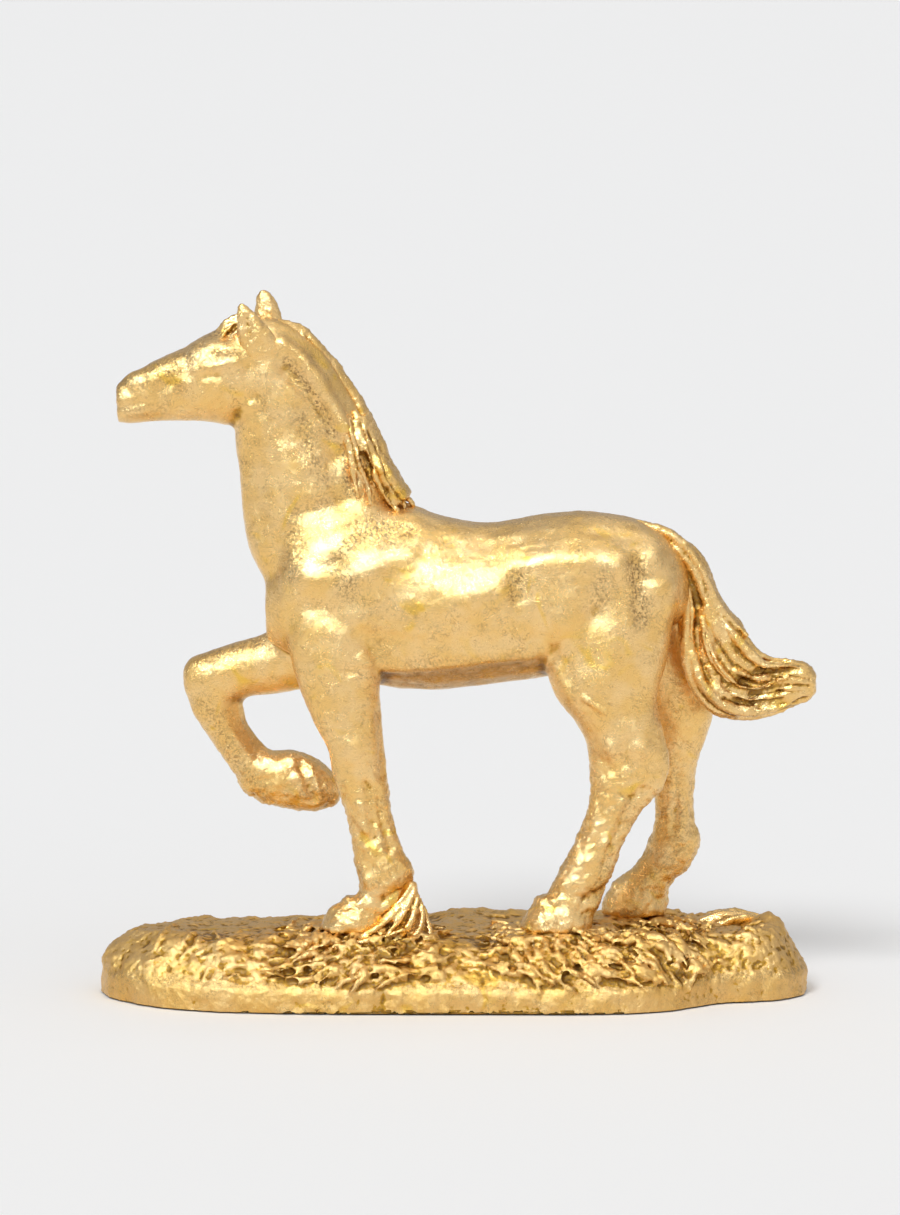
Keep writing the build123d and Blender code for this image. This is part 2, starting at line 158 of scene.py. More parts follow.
FORE_LEFT_HOOF = [
    (-23.2, -11.5, 25.4, 270, 5, 4.9), (-25.2, -11.5, 21.5, 270, 6.8, 6.1), (-26.5, -11.5, 17, 270, 7.4, 6.8),
]
FORE_RIGHT = [
    (-30, 6.5, 88, 215, 10, 7.5), (-38, 8.5, 82, 203, 8.8, 7), FORE_RIGHT_JOINT,
    (-52.6, 10, 77.2, 193, 6.9, 5.8), (-57, 10.1, 75.2, 212, 7.7, 5.7), (-60, 10.2, 72.8, 238, 8.4, 5.4),
    (-56.9, 10.4, 63.6, 290, 5.3, 4.4), (-51.5, 10.5, 55.7, 302, 5, 4.3), (-47.2, 10.5, 51.9, 322, 7, 5),
    (-41.2, 10.5, 50.4, 350, 7.3, 5.6), (-35.3, 10.5, 48.8, 352, 6.4, 6.1),
    (-31.2, 10.5, 47.6, 352, 4.3, 4.4), (-29, 10.5, 46.8, 352, 2.4, 2.6),
]
HIND_LEFT = [
    (36.5, -6.5, 101, 270, 16, 9), (35.5, -8.5, 86, 270, 14.8, 8.7), (34.8, -9.4, 79.5, 270, 14.1, 8.1),
    (35, -10, 73, 270, 12, 7.4), HIND_LEFT_JOINT, (40.4, -10.8, 57, 270, 9.7, 5.5),
    (39.6, -11.2, 51, 270, 8.6, 5), (36.6, -11.4, 45.5, 270, 6.6, 4.3), (33.1, -11.5, 38, 270, 6, 4.2),
    (30.4, -11.5, 32, 270, 6.6, 4.9), (27.7, -11.5, 26, 270, 7, 5), (25.4, -11.5, 20, 270, 6.8, 5),
]
HIND_LEFT_HOOF = [
    (25, -11.5, 25.6, 270, 6.9, 5.2), (23.8, -11.5, 21.5, 270, 8, 6.3), (22.7, -11.5, 17, 270, 8.6, 7),
]
HIND_RIGHT = [
    (38, 6.5, 101, 270, 15.5, 9), (42.5, 8.5, 86, 270, 13.5, 8.4), (49.8, 10, 72, 270, 10.4, 7.2),
    (52.2, 10.3, 66.4, 270, 9.3, 6.8), HIND_RIGHT_JOINT, (51.6, 10.9, 54, 270, 5.9, 5),
    (52.1, 11.2, 47, 270, 4.8, 4.2), (52.1, 11.4, 40, 270, 5.1, 4.2), (52.1, 11.5, 34.5, 270, 6.5, 4.9),
    (49, 11.5, 28.5, 270, 6.8, 4.8), (44.2, 11.5, 24.5, 270, 7.4, 4.9), (43.4, 11.5, 20, 270, 6.4, 4.8),
]
HIND_RIGHT_HOOF = [
    (43.6, 11.5, 25, 270, 7, 5.2), (42.9, 11.5, 21.5, 270, 7.8, 6.3), (42.2, 11.5, 17, 270, 8.3, 7),
]

CLAY_GRAIN = 0.8 * MM
SKIN_GRAIN = 0.5 * MM


def eased(rows, steps):
    """Rows in between the given ones, on a smooth curve through all of them."""
    rows = np.array(rows, float)
    ends = np.vstack([2 * rows[0] - rows[1], rows, 2 * rows[-1] - rows[-2]])
    filled = []
    for before, start, end, after in zip(ends, ends[1:], ends[2:], ends[3:]):
        for t in np.arange(steps) / steps:
            curve = 2 * start + (end - before) * t
            curve += (2 * before - 5 * start + 4 * end - after) * t**2
            curve += (3 * start - before - 3 * end + after) * t**3
            filled.append(curve / 2)
    return [tuple(row) for row in filled] + [tuple(rows[-1])]


def drawn_clay(name, rows, sides=24):
    """A bar drawn out from a disc, one oval after another, and closed at both ends."""
    rows = eased(rows, 3)
    x, y, z, facing, deep, wide = rows[0]
    bpy.ops.object.select_all(action="DESELECT")
    bpy.ops.mesh.primitive_circle_add(
        vertices=sides, radius=MM, fill_type="NGON", location=(x * MM, y * MM, z * MM),
        rotation=(0, math.radians(90 - facing), 0), scale=(1, 1, 1),
    )
    bar = bpy.context.object
    bar.name = name
    bpy.ops.object.transform_apply(location=True, rotation=True, scale=True)
    bpy.ops.object.mode_set(mode="EDIT")
    bpy.ops.mesh.select_all(action="SELECT")

    def widen(centre, facing, up, across):
        turn = Matrix.Rotation(math.radians(90 - facing), 3, "Y")
        bpy.ops.transform.resize(
            value=(up, across, 1), orient_type="GLOBAL", orient_matrix=turn,
            orient_matrix_type="GLOBAL", center_override=centre,
        )

    widen(Vector((x, y, z)) * MM, facing, deep, wide)
    for before, row in zip(rows, rows[1:]):
        centre = Vector(row[:3]) * MM
        step = centre - Vector(before[:3]) * MM
        bpy.ops.mesh.extrude_region_move(TRANSFORM_OT_translate={"value": step})
        turn = math.radians(before[3] - row[3])
        bpy.ops.transform.rotate(value=-turn, orient_axis="Y", orient_type="GLOBAL", center_override=centre)
        widen(centre, row[3], row[4] / before[4], row[5] / before[5])
    bpy.ops.mesh.select_all(action="SELECT")
    bpy.ops.mesh.normals_make_consistent(inside=False)
    bpy.ops.object.mode_set(mode="OBJECT")
    return bar


def picked_up(*pieces):
    """Selects these pieces and nothing else, the first one active."""
    bpy.ops.object.select_all(action="DESELECT")
    for piece in pieces:
        piece.select_set(True)
    bpy.context.view_layer.objects.active = pieces[0]


def joined(name, parts):
    """Several pieces of clay as one object."""
    picked_up(*parts)
    bpy.ops.object.join()
    parts[0].name = name
    parts[0].data.name = name
    return parts[0]


def worked(piece, kind, **settings):
    """One modifier, put on a piece and applied at once."""
    picked_up(piece)
    modifier = piece.modifiers.new(kind.lower(), kind)
    for key, value in settings.items():
        setattr(modifier, key, value)
    bpy.ops.object.modifier_apply(modifier=modifier.name)


def kneaded(piece, grain, rounds):
    """Melts overlapping clay into one closed skin of even small faces, and eases the joins."""
    worked(piece, "REMESH", mode="VOXEL", voxel_size=grain, use_smooth_shade=True)
    worked(piece, "SMOOTH", factor=0.5, iterations=rounds)


def vertex_places(piece):
    """Where each point of a piece lies, in millimetres."""
    places = np.empty(len(piece.data.vertices) * 3)
    piece.data.vertices.foreach_get("co", places)
    return places.reshape(-1, 3) / MM


def vertex_normals(piece):
    """The way out of the piece at each of its points."""
    normals = np.empty(len(piece.data.vertices) * 3)
    piece.data.vertex_normals.foreach_get("vector", normals)
    return normals.reshape(-1, 3)


def set_places(piece, places):
    """Moves each point of a piece to its place, in millimetres."""
    piece.data.vertices.foreach_set("co", (places * MM).ravel())
    piece.data.update()


def distance_to(points, route):
    """How far each point lies from a route of straight runs, in the route's own dimensions."""
    nearest = np.full(len(points), np.inf)
    route = np.array(route, float)
    if len(route) == 1:
        route = np.vstack([route, route])
    for a, b in zip(route, route[1:]):
        run = b - a
        along = np.clip((points - a) @ run / max(run @ run, 1e-9), 0, 1)
        nearest = np.minimum(nearest, np.linalg.norm(points - a - along[:, None] * run, axis=1))
    return nearest


def smooth_step(value, low, high):
    """A share that eases from nothing at the first value to full at the second."""
    t = np.clip((value - low) / (high - low), 0, 1)
    return t * t * (3 - 2 * t)


def stroke_shares(piece, strokes):
    """How strongly each stroke of a tool, seen from the side of the horse, reaches each point.

    A stroke is the side it is on, its width, its height and its route of x, z points.
    Sides: both, near or far flank, far_inner for the inner faces of the far legs, rings round a hoof.
    """
    places = vertex_places(piece)
    normals = vertex_normals(piece)
    across = places[:, 1]
    outward = np.where(across < 0, -normals[:, 1], normals[:, 1])
    sides = {
        "both": smooth_step(outward, -0.1, 0.35),
        "near": smooth_step(-normals[:, 1], -0.1, 0.35) * (across < 0.5),
        "far": smooth_step(normals[:, 1], -0.1, 0.35) * (across > -0.5),
        "far_inner": smooth_step(-normals[:, 1], -0.1, 0.35) * (across > 2),
        "ring_near": (across < 0) * 1.0,
        "ring_far": (across > 0) * 1.0,
    }
    side_view = places[:, [0, 2]]
    for side, width, height, route in strokes:
        yield height * np.exp(-((distance_to(side_view, route) / width) ** 2)) * sides[side]


def tooled(piece, strokes):
    """Raises or presses strokes of a rounded tool."""
    places = vertex_places(piece)
    normals = vertex_normals(piece)
    for reach in stroke_shares(piece, strokes):
        places += normals * reach[:, None]
    set_places(piece, places)


def rubbed(piece, strokes):
    """Stores where the leaf is rubbed through, for the finish to read."""
    wear = np.zeros(len(piece.data.vertices))
    for reach in stroke_shares(piece, strokes):
        wear = np.maximum(wear, reach)
    piece.data.attributes.new("rubbed", "FLOAT", "POINT").data.foreach_set("value", wear)


BODY_STROKES = [
    # the square lower edge of the flank, and the flat under it
    ("both", 3.0, 1.2, [(-22, 82), (-10, 82.3), (0, 83.3), (10, 84.8), (16, 84.8)]),
    ("both", 1.2, 0.5, [(-19, 80.6), (-10, 81), (0, 82), (10, 83.6), (17, 83.7)]),
    # shoulder blade, the hollow above it, the groove before it and the girth behind it
    ("both", 5.0, 1.2, [(-36, 103.5), (-29.5, 109)]),
    ("both", 2.6, 0.7, [(-26, 102), (-13, 108)]),
    ("both", 4.0, -0.8, [(-28, 104), (-26, 97)]),
    ("both", 2.2, -0.5, [(-33, 105), (-22, 111.5), (-12, 114)]),
    ("both", 2.4, -0.6, [(-42, 112.5), (-43.6, 108), (-45, 103)]),
    ("both", 4.5, -0.7, [(-15, 113), (-14, 102), (-17, 90)]),
    ("both", 5.0, 0.7, [(-26, 90)]),
    ("both", 3.0, -0.5, [(-33, 96), (-20, 86)]),
    ("near", 1.2, -0.5, [(-27, 80.4), (-20.5, 80.2)]),
    # barrel and loins
    ("both", 4.0, 1.2, [(-1, 97.6), (5, 98.8), (9, 99.6)]),
    ("both", 3.2, -1.0, [(13.8, 106), (13.4, 98)]),
    ("both", 3.4, 1.5, [(14, 106), (24, 107), (37, 105.5)]),
    ("both", 3.0, -0.6, [(-8, 109), (6, 109.5)]),
    ("both", 4.0, 0.5, [(24, 94)]),
    ("both", 1.9, -0.6, [(29.5, 114), (38, 112), (44, 109.8)]),
    # hip, buttock and thigh
    ("both", 4.0, 1.2, [(45, 108.5)]),
    ("both", 2.6, -1.0, [(42.5, 106), (43, 94)]),
    ("both", 3.2, -0.7, [(33, 104), (32, 96)]),
    ("both", 4.0, 0.8, [(49.5, 103), (49.5, 95)]),
    ("both", 5.0, 1.3, [(25.5, 89)]),
    ("both", 4.0, -0.5, [(32, 84), (31, 92)]),
    ("both", 3.0, -0.4, [(20, 91), (17.5, 87)]),
    ("both", 1.6, 0.5, [(19.5, 84.5), (22.3, 81), (26, 75)]),
    ("both", 4.0, -0.6, [(46, 92), (41, 80), (39, 70)]),
    ("near", 0.7, 0.6, [(29.5, 74), (34.5, 70.5)]),
]
NECK_STROKES = [
    # the ridge under the mane and the hollows below it
    ("both", 1.8, 1.6, [(-42.6, 157.6), (-38.4, 154.6), (-34.2, 149), (-30, 142), (-27.5, 137)]),
    ("both", 2.2, -1.1, [(-41.6, 151.6), (-37.6, 147.6), (-34, 142.6), (-31.4, 137), (-29, 131)]),
    ("both", 3.0, -0.9, [(-37, 141), (-35.6, 135.5), (-32.7, 131.8), (-30, 127), (-28.5, 121)]),
    # the swell of the neck, and the grooves before and along it
    ("both", 3.0, 0.5, [(-40.5, 132), (-36.5, 122)]),
    ("both", 2.8, -0.5, [(-50, 135), (-48.5, 120), (-44.5, 108)]),
    ("both", 1.6, -0.4, [(-44, 139), (-39.4, 128), (-36, 119)]),
    # the dips where the neck runs into the shoulder and the withers
    ("both", 2.8, -0.7, [(-38, 117), (-28, 120), (-22, 121.5), (-14, 119.5)]),
    ("both", 1.8, -0.9, [(-26.8, 132.5), (-25.2, 125)]),
]
HEAD_STROKES = [
    # cheek, brow, ridge of the nose and the bone under the eye
    ("both", 5.5, 0.4, [(-57, 146.5), (-53, 147.5)]),
    ("both", 3.0, 0.5, [(-61, 154.4), (-54, 156)]),
    ("both", 2.0, 0.7, [(-80, 147.6), (-72, 150.8), (-66, 153.2), (-60, 156), (-54, 157)]),
    ("both", 1.2, 0.45, [(-62.6, 151), (-57, 152.2), (-53, 153)]),
    # eye and the hollows round it
    ("both", 1.6, -0.5, [(-62, 154.6), (-58.6, 155)]),
    ("both", 0.9, 0.4, [(-61, 152.4)]),
    ("both", 1.0, -0.4, [(-60.6, 149.8), (-57.6, 150)]),
    ("both", 1.9, -0.8, [(-56, 159.4), (-53.4, 157)]),
    ("both", 1.4, -0.4, [(-65.6, 155.8), (-64.8, 153)]),
    # front of the cheek and side of the nose
    ("both", 1.4, -0.55, [(-69.3, 148.2), (-67.2, 146.4), (-66.4, 143)]),
    ("both", 1.6, 0.4, [(-72.5, 149)]),
    ("both", 1.5, -0.5, [(-71, 146.2)]),
    ("both", 1.4, 0.5, [(-65.2, 148)]),
    # nostril, mouth and lower lip
    ("both", 1.3, -0.5, [(-80.6, 147.2), (-79.4, 146.4)]),
    ("both", 1.2, 0.35, [(-80, 149.4), (-77, 149)]),
    ("both", 1.0, -0.35, [(-82.5, 142.2), (-79.5, 142.4), (-75, 143.6)]),
    ("both", 1.6, 0.3, [(-79, 140.8), (-75.6, 141)]),
    # throat and back edge of the jaw
    ("both", 2.1, -0.7, [(-47.6, 144.8), (-47, 141.6)]),
    ("both", 1.2, 0.6, [(-49.8, 142.6)]),
    ("both", 1.9, -0.6, [(-53, 139.6)]),
    ("both", 2.4, -0.5, [(-50.5, 152), (-49.5, 146), (-51.5, 142)]),
]
LEG_STROKES = [
    # near foreleg, from forearm to hoof
    ("near", 4.0, 0.8, [(-25.8, 61.6)]),
    ("near", 1.3, -0.7, [(-22.2, 52.6), (-21, 46.8), (-20.4, 40)]),
    ("near", 0.9, 0.6, [(-23.6, 48), (-22.6, 42)]),
    ("near", 0.9, -0.7, [(-19.4, 49), (-18.6, 44), (-16.6, 37.5)]),
    ("near", 0.9, -0.4, [(-19.6, 70), (-18.2, 55)]),
    ("near", 1.4, -1.0, [(-18.3, 25), (-15, 26.8), (-11.4, 28.4)]),
    ("ring_near", 1.2, -0.6, [(-29, 24.6), (-24, 23), (-19.5, 21.4)]),
    ("near", 1.8, 0.5, [(-22, 30)]),
    ("near", 2.2, 0.5, [(-14.5, 31.5)]),
    # near hind leg, from gaskin to hoof
    ("near", 1.5, -0.7, [(43.6, 51.8), (41, 49), (38.6, 44.6), (37, 40), (34.8, 34)]),
    ("near", 1.0, 0.5, [(39, 49.5), (36.6, 44), (34.6, 38)]),
    ("near", 2.0, 0.8, [(36, 62)]),
    ("near", 2.0, 0.8, [(43.4, 61.8)]),
    ("near", 1.4, -0.5, [(39.8, 64), (39.6, 58)]),
    ("near", 1.2, -0.4, [(32, 59.5), (36, 57)]),
    ("near", 1.4, -1.0, [(29.4, 25), (32.4, 26), (35.4, 27.4)]),
    ("ring_near", 1.2, -0.5, [(17.5, 23.4), (25, 23.6), (31, 21.4)]),
    ("near", 2.0, 0.5, [(24.4, 29)]),
    ("near", 2.2, 0.6, [(30.4, 34.6)]),
    # raised foreleg
    ("far_inner", 2.5, 0.5, [(-58, 78)]),
    ("far_inner", 2.0, -0.8, [(-54, 69), (-53, 63.5), (-49, 57.5)]),
    ("far_inner", 1.2, -0.8, [(-38.8, 54.4), (-37, 51), (-35.6, 46)]),
    ("far", 1.2, -0.8, [(-38.8, 54.4), (-37, 51), (-35.6, 46)]),
    ("far", 2.5, 0.6, [(-61, 76)]),
    # far hind leg
    ("far_inner", 1.2, -0.5, [(53, 53), (52.5, 44), (52, 38)]),
    ("far", 1.2, -0.7, [(53, 53), (52.5, 44), (52, 38)]),
    ("ring_far", 1.2, -0.5, [(36, 23.4), (43, 23.6), (49, 21.4)]),
]
# Where hands and cloths have rubbed the leaf down to the brown: side, width, strength, route.
RUBBED_PLACES = [
    ("both", 2.8, 1.3, [(-28, 106), (-27, 101)]),
    ("both", 2.2, 1.3, [(13.6, 104), (13.2, 98.4)]),
    ("both", 2.4, 1.4, [(42, 106), (43, 92.5)]),
    ("both", 2.2, 0.8, [(34, 103), (32.6, 97)]),
    ("both", 2.2, 1.4, [(-27, 133), (-26, 123)]),
    ("both", 1.7, 1.2, [(-41, 153), (-36.6, 147.4), (-32.6, 141), (-30.5, 136)]),
    ("both", 2.4, 0.8, [(-38, 140), (-35, 131), (-32, 124)]),
    ("both", 2.2, 0.6, [(-38, 118), (-28, 120.6), (-18, 121)]),
    ("both", 4.5, 0.75, [(-23, 114), (-14, 111)]),
    ("both", 2.2, 1.2, [(-31, 104.5), (-26.5, 110.5), (-20, 114), (-12, 113)]),
    ("both", 2.4, 0.9, [(-39, 117), (-40, 103)]),
    ("both", 3.0, 0.6, [(-27, 100), (-22, 96)]),
    ("both", 1.6, 1.0, [(-60, 159.6), (-55, 160.4)]),
    ("both", 2.4, 1.1, [(-80, 147.6), (-68, 152), (-60, 155.6)]),
    ("both", 2.4, 1.2, [(-62, 154), (-54, 155.6)]),
    ("both", 1.7, 0.7, [(-69, 148), (-66.6, 146.4)]),
    ("both", 1.8, 0.6, [(-82, 148), (-82.6, 141)]),
    ("both", 1.9, 0.5, [(-79, 141), (-71, 142)]),
    ("both", 2.0, 0.7, [(-47.5, 145), (-47, 141)]),
    ("both", 2.2, 0.4, [(-20, 90), (-19, 84)]),
    ("both", 1.6, 0.4, [(-19, 82), (0, 82.6), (16, 84)]),
    ("both", 2.0, 0.5, [(21, 118), (30, 118)]),
    ("both", 3.0, 0.4, [(52, 92), (53, 98)]),
    ("near", 1.5, 0.6, [(-32, 60), (-29.5, 50)]),
    ("near", 2.0, 0.5, [(-19, 40), (-16, 33)]),
    ("near", 2.0, 0.6, [(33, 28), (36, 38)]),
    ("near", 2.5, 0.4, [(-28, 20)]),
    ("near", 2.5, 0.4, [(20, 24), (25, 30)]),
    ("far_inner", 2.6, 0.7, [(-62, 70), (-55, 57), (-48, 48)]),
    ("far_inner", 2.0, 0.7, [(-36, 52), (-32, 47)]),
    ("far_inner", 2.4, 0.9, [(-62, 79.5), (-47, 83.5)]),
    ("far_inner", 3.0, 0.6, [(50, 56), (54, 40), (52, 32), (44, 24)]),
]
SKIN_LUMPS = [
    # size of the lumps and how far they stand proud, from the modeller's thumb to the leaf's wrinkles
    (9 * MM, 0.55 * MM),
    (4.0 * MM, 0.22 * MM),
    (1.3 * MM, 0.16 * MM),
]
LEG_LUMPS = [(2.8 * MM, 0.80 * MM), (1.1 * MM, 0.55 * MM)]
# The heights between which the smooth skin of the body gives way to the rough legs.
SMOOTH_ABOVE = 68
ROUGH_BELOW = 48


def lumped(piece, lumps, group=""):
    """Fine uneven lumps all over a piece or a group of it, in sizes that sit inside each other."""
    for size, height in lumps:
        texture = bpy.data.textures.new(piece.name + "_lumps", "CLOUDS")
        texture.noise_scale = size
        texture.noise_depth = 1
        worked(
            piece, "DISPLACE", texture=texture, texture_coords="LOCAL", strength=height, mid_level=0.5,
            vertex_group=group,
        )


def painted_group(piece, name, shares):
    """A vertex group that holds each point by its share, in steps of a tenth."""
    group = piece.vertex_groups.new(name=name)
    shares = np.round(shares, 1)
    for share in np.unique(shares[shares > 0]):
        group.add(np.flatnonzero(shares == share).tolist(), float(share), "REPLACE")


def kept_whole(piece):
    """Drops the crumbs that have come loose from a piece and keeps the biggest part of it."""
    picked_up(piece)
    bpy.ops.object.mode_set(mode="EDIT")
    bpy.ops.mesh.select_all(action="SELECT")
    bpy.ops.mesh.separate(type="LOOSE")
    bpy.ops.object.mode_set(mode="OBJECT")
    parts = sorted(bpy.context.selected_objects, key=lambda part: len(part.data.vertices))
    whole = parts.pop()
    for crumb in parts:
        bpy.data.objects.remove(crumb)
    bpy.context.view_layer.objects.active = whole
    return whole


# The smoothing round after which fine marks are read, and how deep they are beside broad ones.
FINE_ROUND = 6
FINE_SHARE = 0.35


def mark_shade_and_glaze(piece, rounds, depth, glaze=0):
    """Stores painted shade for the finish: how deep each point lies in a recess, and how far it faces down.

    The glaze is a share added to it for amber varnish, which on the ground is also painted shade among the
    grass.
    """
    mesh = piece.data
    places = vertex_places(piece)
    ends = np.empty(len(mesh.edges) * 2, int)
    mesh.edges.foreach_get("vertices", ends)
    first, second = ends.reshape(-1, 2).T
    count = len(places)
    sharing = np.bincount(first, minlength=count) + np.bincount(second, minlength=count)
    smooth = places.copy()
    for turn in range(rounds):
        total = np.empty_like(smooth)
        for axis in range(3):
            column = smooth[:, axis]
            total[:, axis] = np.bincount(first, column[second], count)
            total[:, axis] += np.bincount(second, column[first], count)
        smooth = 0.3 * smooth + 0.7 * total / np.maximum(sharing, 1)[:, None]
        if turn == FINE_ROUND:
            fine = smooth.copy()
    normals = vertex_normals(piece)
    # Painted shade: points deep below the smoothed surface are made amber and brown, as occlusion.
    broad = ((smooth - places) * normals).sum(1) / depth
    narrow = ((fine - places) * normals).sum(1) / (FINE_SHARE * depth)
    # Painted shade on the undersides: the more a point faces down, the more amber it is made.
    underside_shade = smooth_step(-normals[:, 2], 0.15, 0.85) * 0.75
    shade_and_glaze = np.clip(0.65 * broad + 0.45 * narrow + underside_shade + glaze, -1, 1.5)
    attribute = mesh.attributes.new("shade_and_glaze", "FLOAT", "POINT")
    attribute.data.foreach_set("value", shade_and_glaze)


clay = [
    drawn_clay("barrel", BARREL),
    drawn_clay("neck_and_head", NECK_AND_HEAD),
    drawn_clay("fore_left", FORE_LEFT),
    drawn_clay("fore_left_hoof", FORE_LEFT_HOOF),
    drawn_clay("fore_right", FORE_RIGHT),
    drawn_clay("hind_left", HIND_LEFT),
    drawn_clay("hind_left_hoof", HIND_LEFT_HOOF),
    drawn_clay("hind_right", HIND_RIGHT),
    drawn_clay("hind_right_hoof", HIND_RIGHT_HOOF),
]
skin = joined("horse_skin", clay)
kneaded(skin, CLAY_GRAIN, 5)
tooled(skin, BODY_STROKES[:2])
kneaded(skin, SKIN_GRAIN, 2)
tooled(skin, BODY_STROKES[2:] + NECK_STROKES + HEAD_STROKES + LEG_STROKES)
lumped(skin, SKIN_LUMPS)
painted_group(skin, "legs", smooth_step(vertex_places(skin)[:, 2], SMOOTH_ABOVE, ROUGH_BELOW))
lumped(skin, LEG_LUMPS, "legs")
mark_shade_and_glaze(skin, rounds=40, depth=0.55)
rubbed(skin, RUBBED_PLACES)

# Each saw cut: the joint's centre and facing, and how far out from its centre the saw reaches.
SAW_CUTS = [
    (NECK_JOINT, 23), (HEAD_JOINT, 17.5), (FORE_LEFT_JOINT, 12.5),
    (FORE_RIGHT_JOINT, 10.5), (HIND_LEFT_JOINT, 13), (HIND_RIGHT_JOINT, 12),
]

picked_up(skin)
for (x, y, z, facing, deep, wide), reach in SAW_CUTS:
    centre = Vector((x, y, z)) * MM
    bpy.ops.object.mode_set(mode="EDIT")
    bpy.ops.mesh.select_mode(type="FACE")
    bpy.ops.mesh.select_all(action="DESELECT")
    bpy.ops.object.mode_set(mode="OBJECT")
    centres = np.empty(len(skin.data.polygons) * 3)
    skin.data.polygons.foreach_get("center", centres)
    inside = np.linalg.norm(centres.reshape(-1, 3) - np.array(centre), axis=1) < reach * MM
    skin.data.polygons.foreach_set("select", inside)
    bpy.ops.object.mode_set(mode="EDIT")
    way = (math.cos(math.radians(facing)), 0, math.sin(math.radians(facing)))
    bpy.ops.mesh.bisect(plane_co=centre, plane_no=way)
    bpy.ops.mesh.select_mode(type="EDGE")
    bpy.ops.mesh.edge_split(type="EDGE")
    bpy.ops.object.mode_set(mode="OBJECT")
bpy.ops.object.mode_set(mode="EDIT")
bpy.ops.mesh.select_all(action="SELECT")
bpy.ops.mesh.separate(type="LOOSE")
bpy.ops.object.mode_set(mode="OBJECT")
sawn = [piece for piece in bpy.context.selected_objects if piece.type == "MESH"]

# The finish: antique gold leaf laid by hand over a brown ground, burnished on the high places,
# rubbed through in speckled patches and lacquered, with painted shade of amber and brown in the
# recesses and on the undersides, the amber partly varnish pooled there.
LEAF_GOLD = (0.93, 0.58, 0.19, 1)
LEAF_PALE = (0.96, 0.64, 0.27, 1)
LEAF_YELLOW = (0.92, 0.56, 0.10, 1)
# The brown ground shows where the leaf is rubbed through, and is also speckled into deep recesses as painted
# shade.
GROUND_AND_SHADE_BROWN = (0.27, 0.155, 0.055, 1)
# Painted shade: amber in recesses and on undersides, partly pooled varnish, and brown in the deepest
# crevices.
SHADE_AND_VARNISH_AMBER = (0.57, 0.295, 0.03, 1)
CREVICE_SHADE_BROWN = (0.25, 0.115, 0.006, 1)
LACQUER = 0.30
LACQUER_ROUGHNESS = 0.15
BURNISHED = 0.17
SCUFFED = 0.34
LEAF_RELIEF = 0.28 * MM


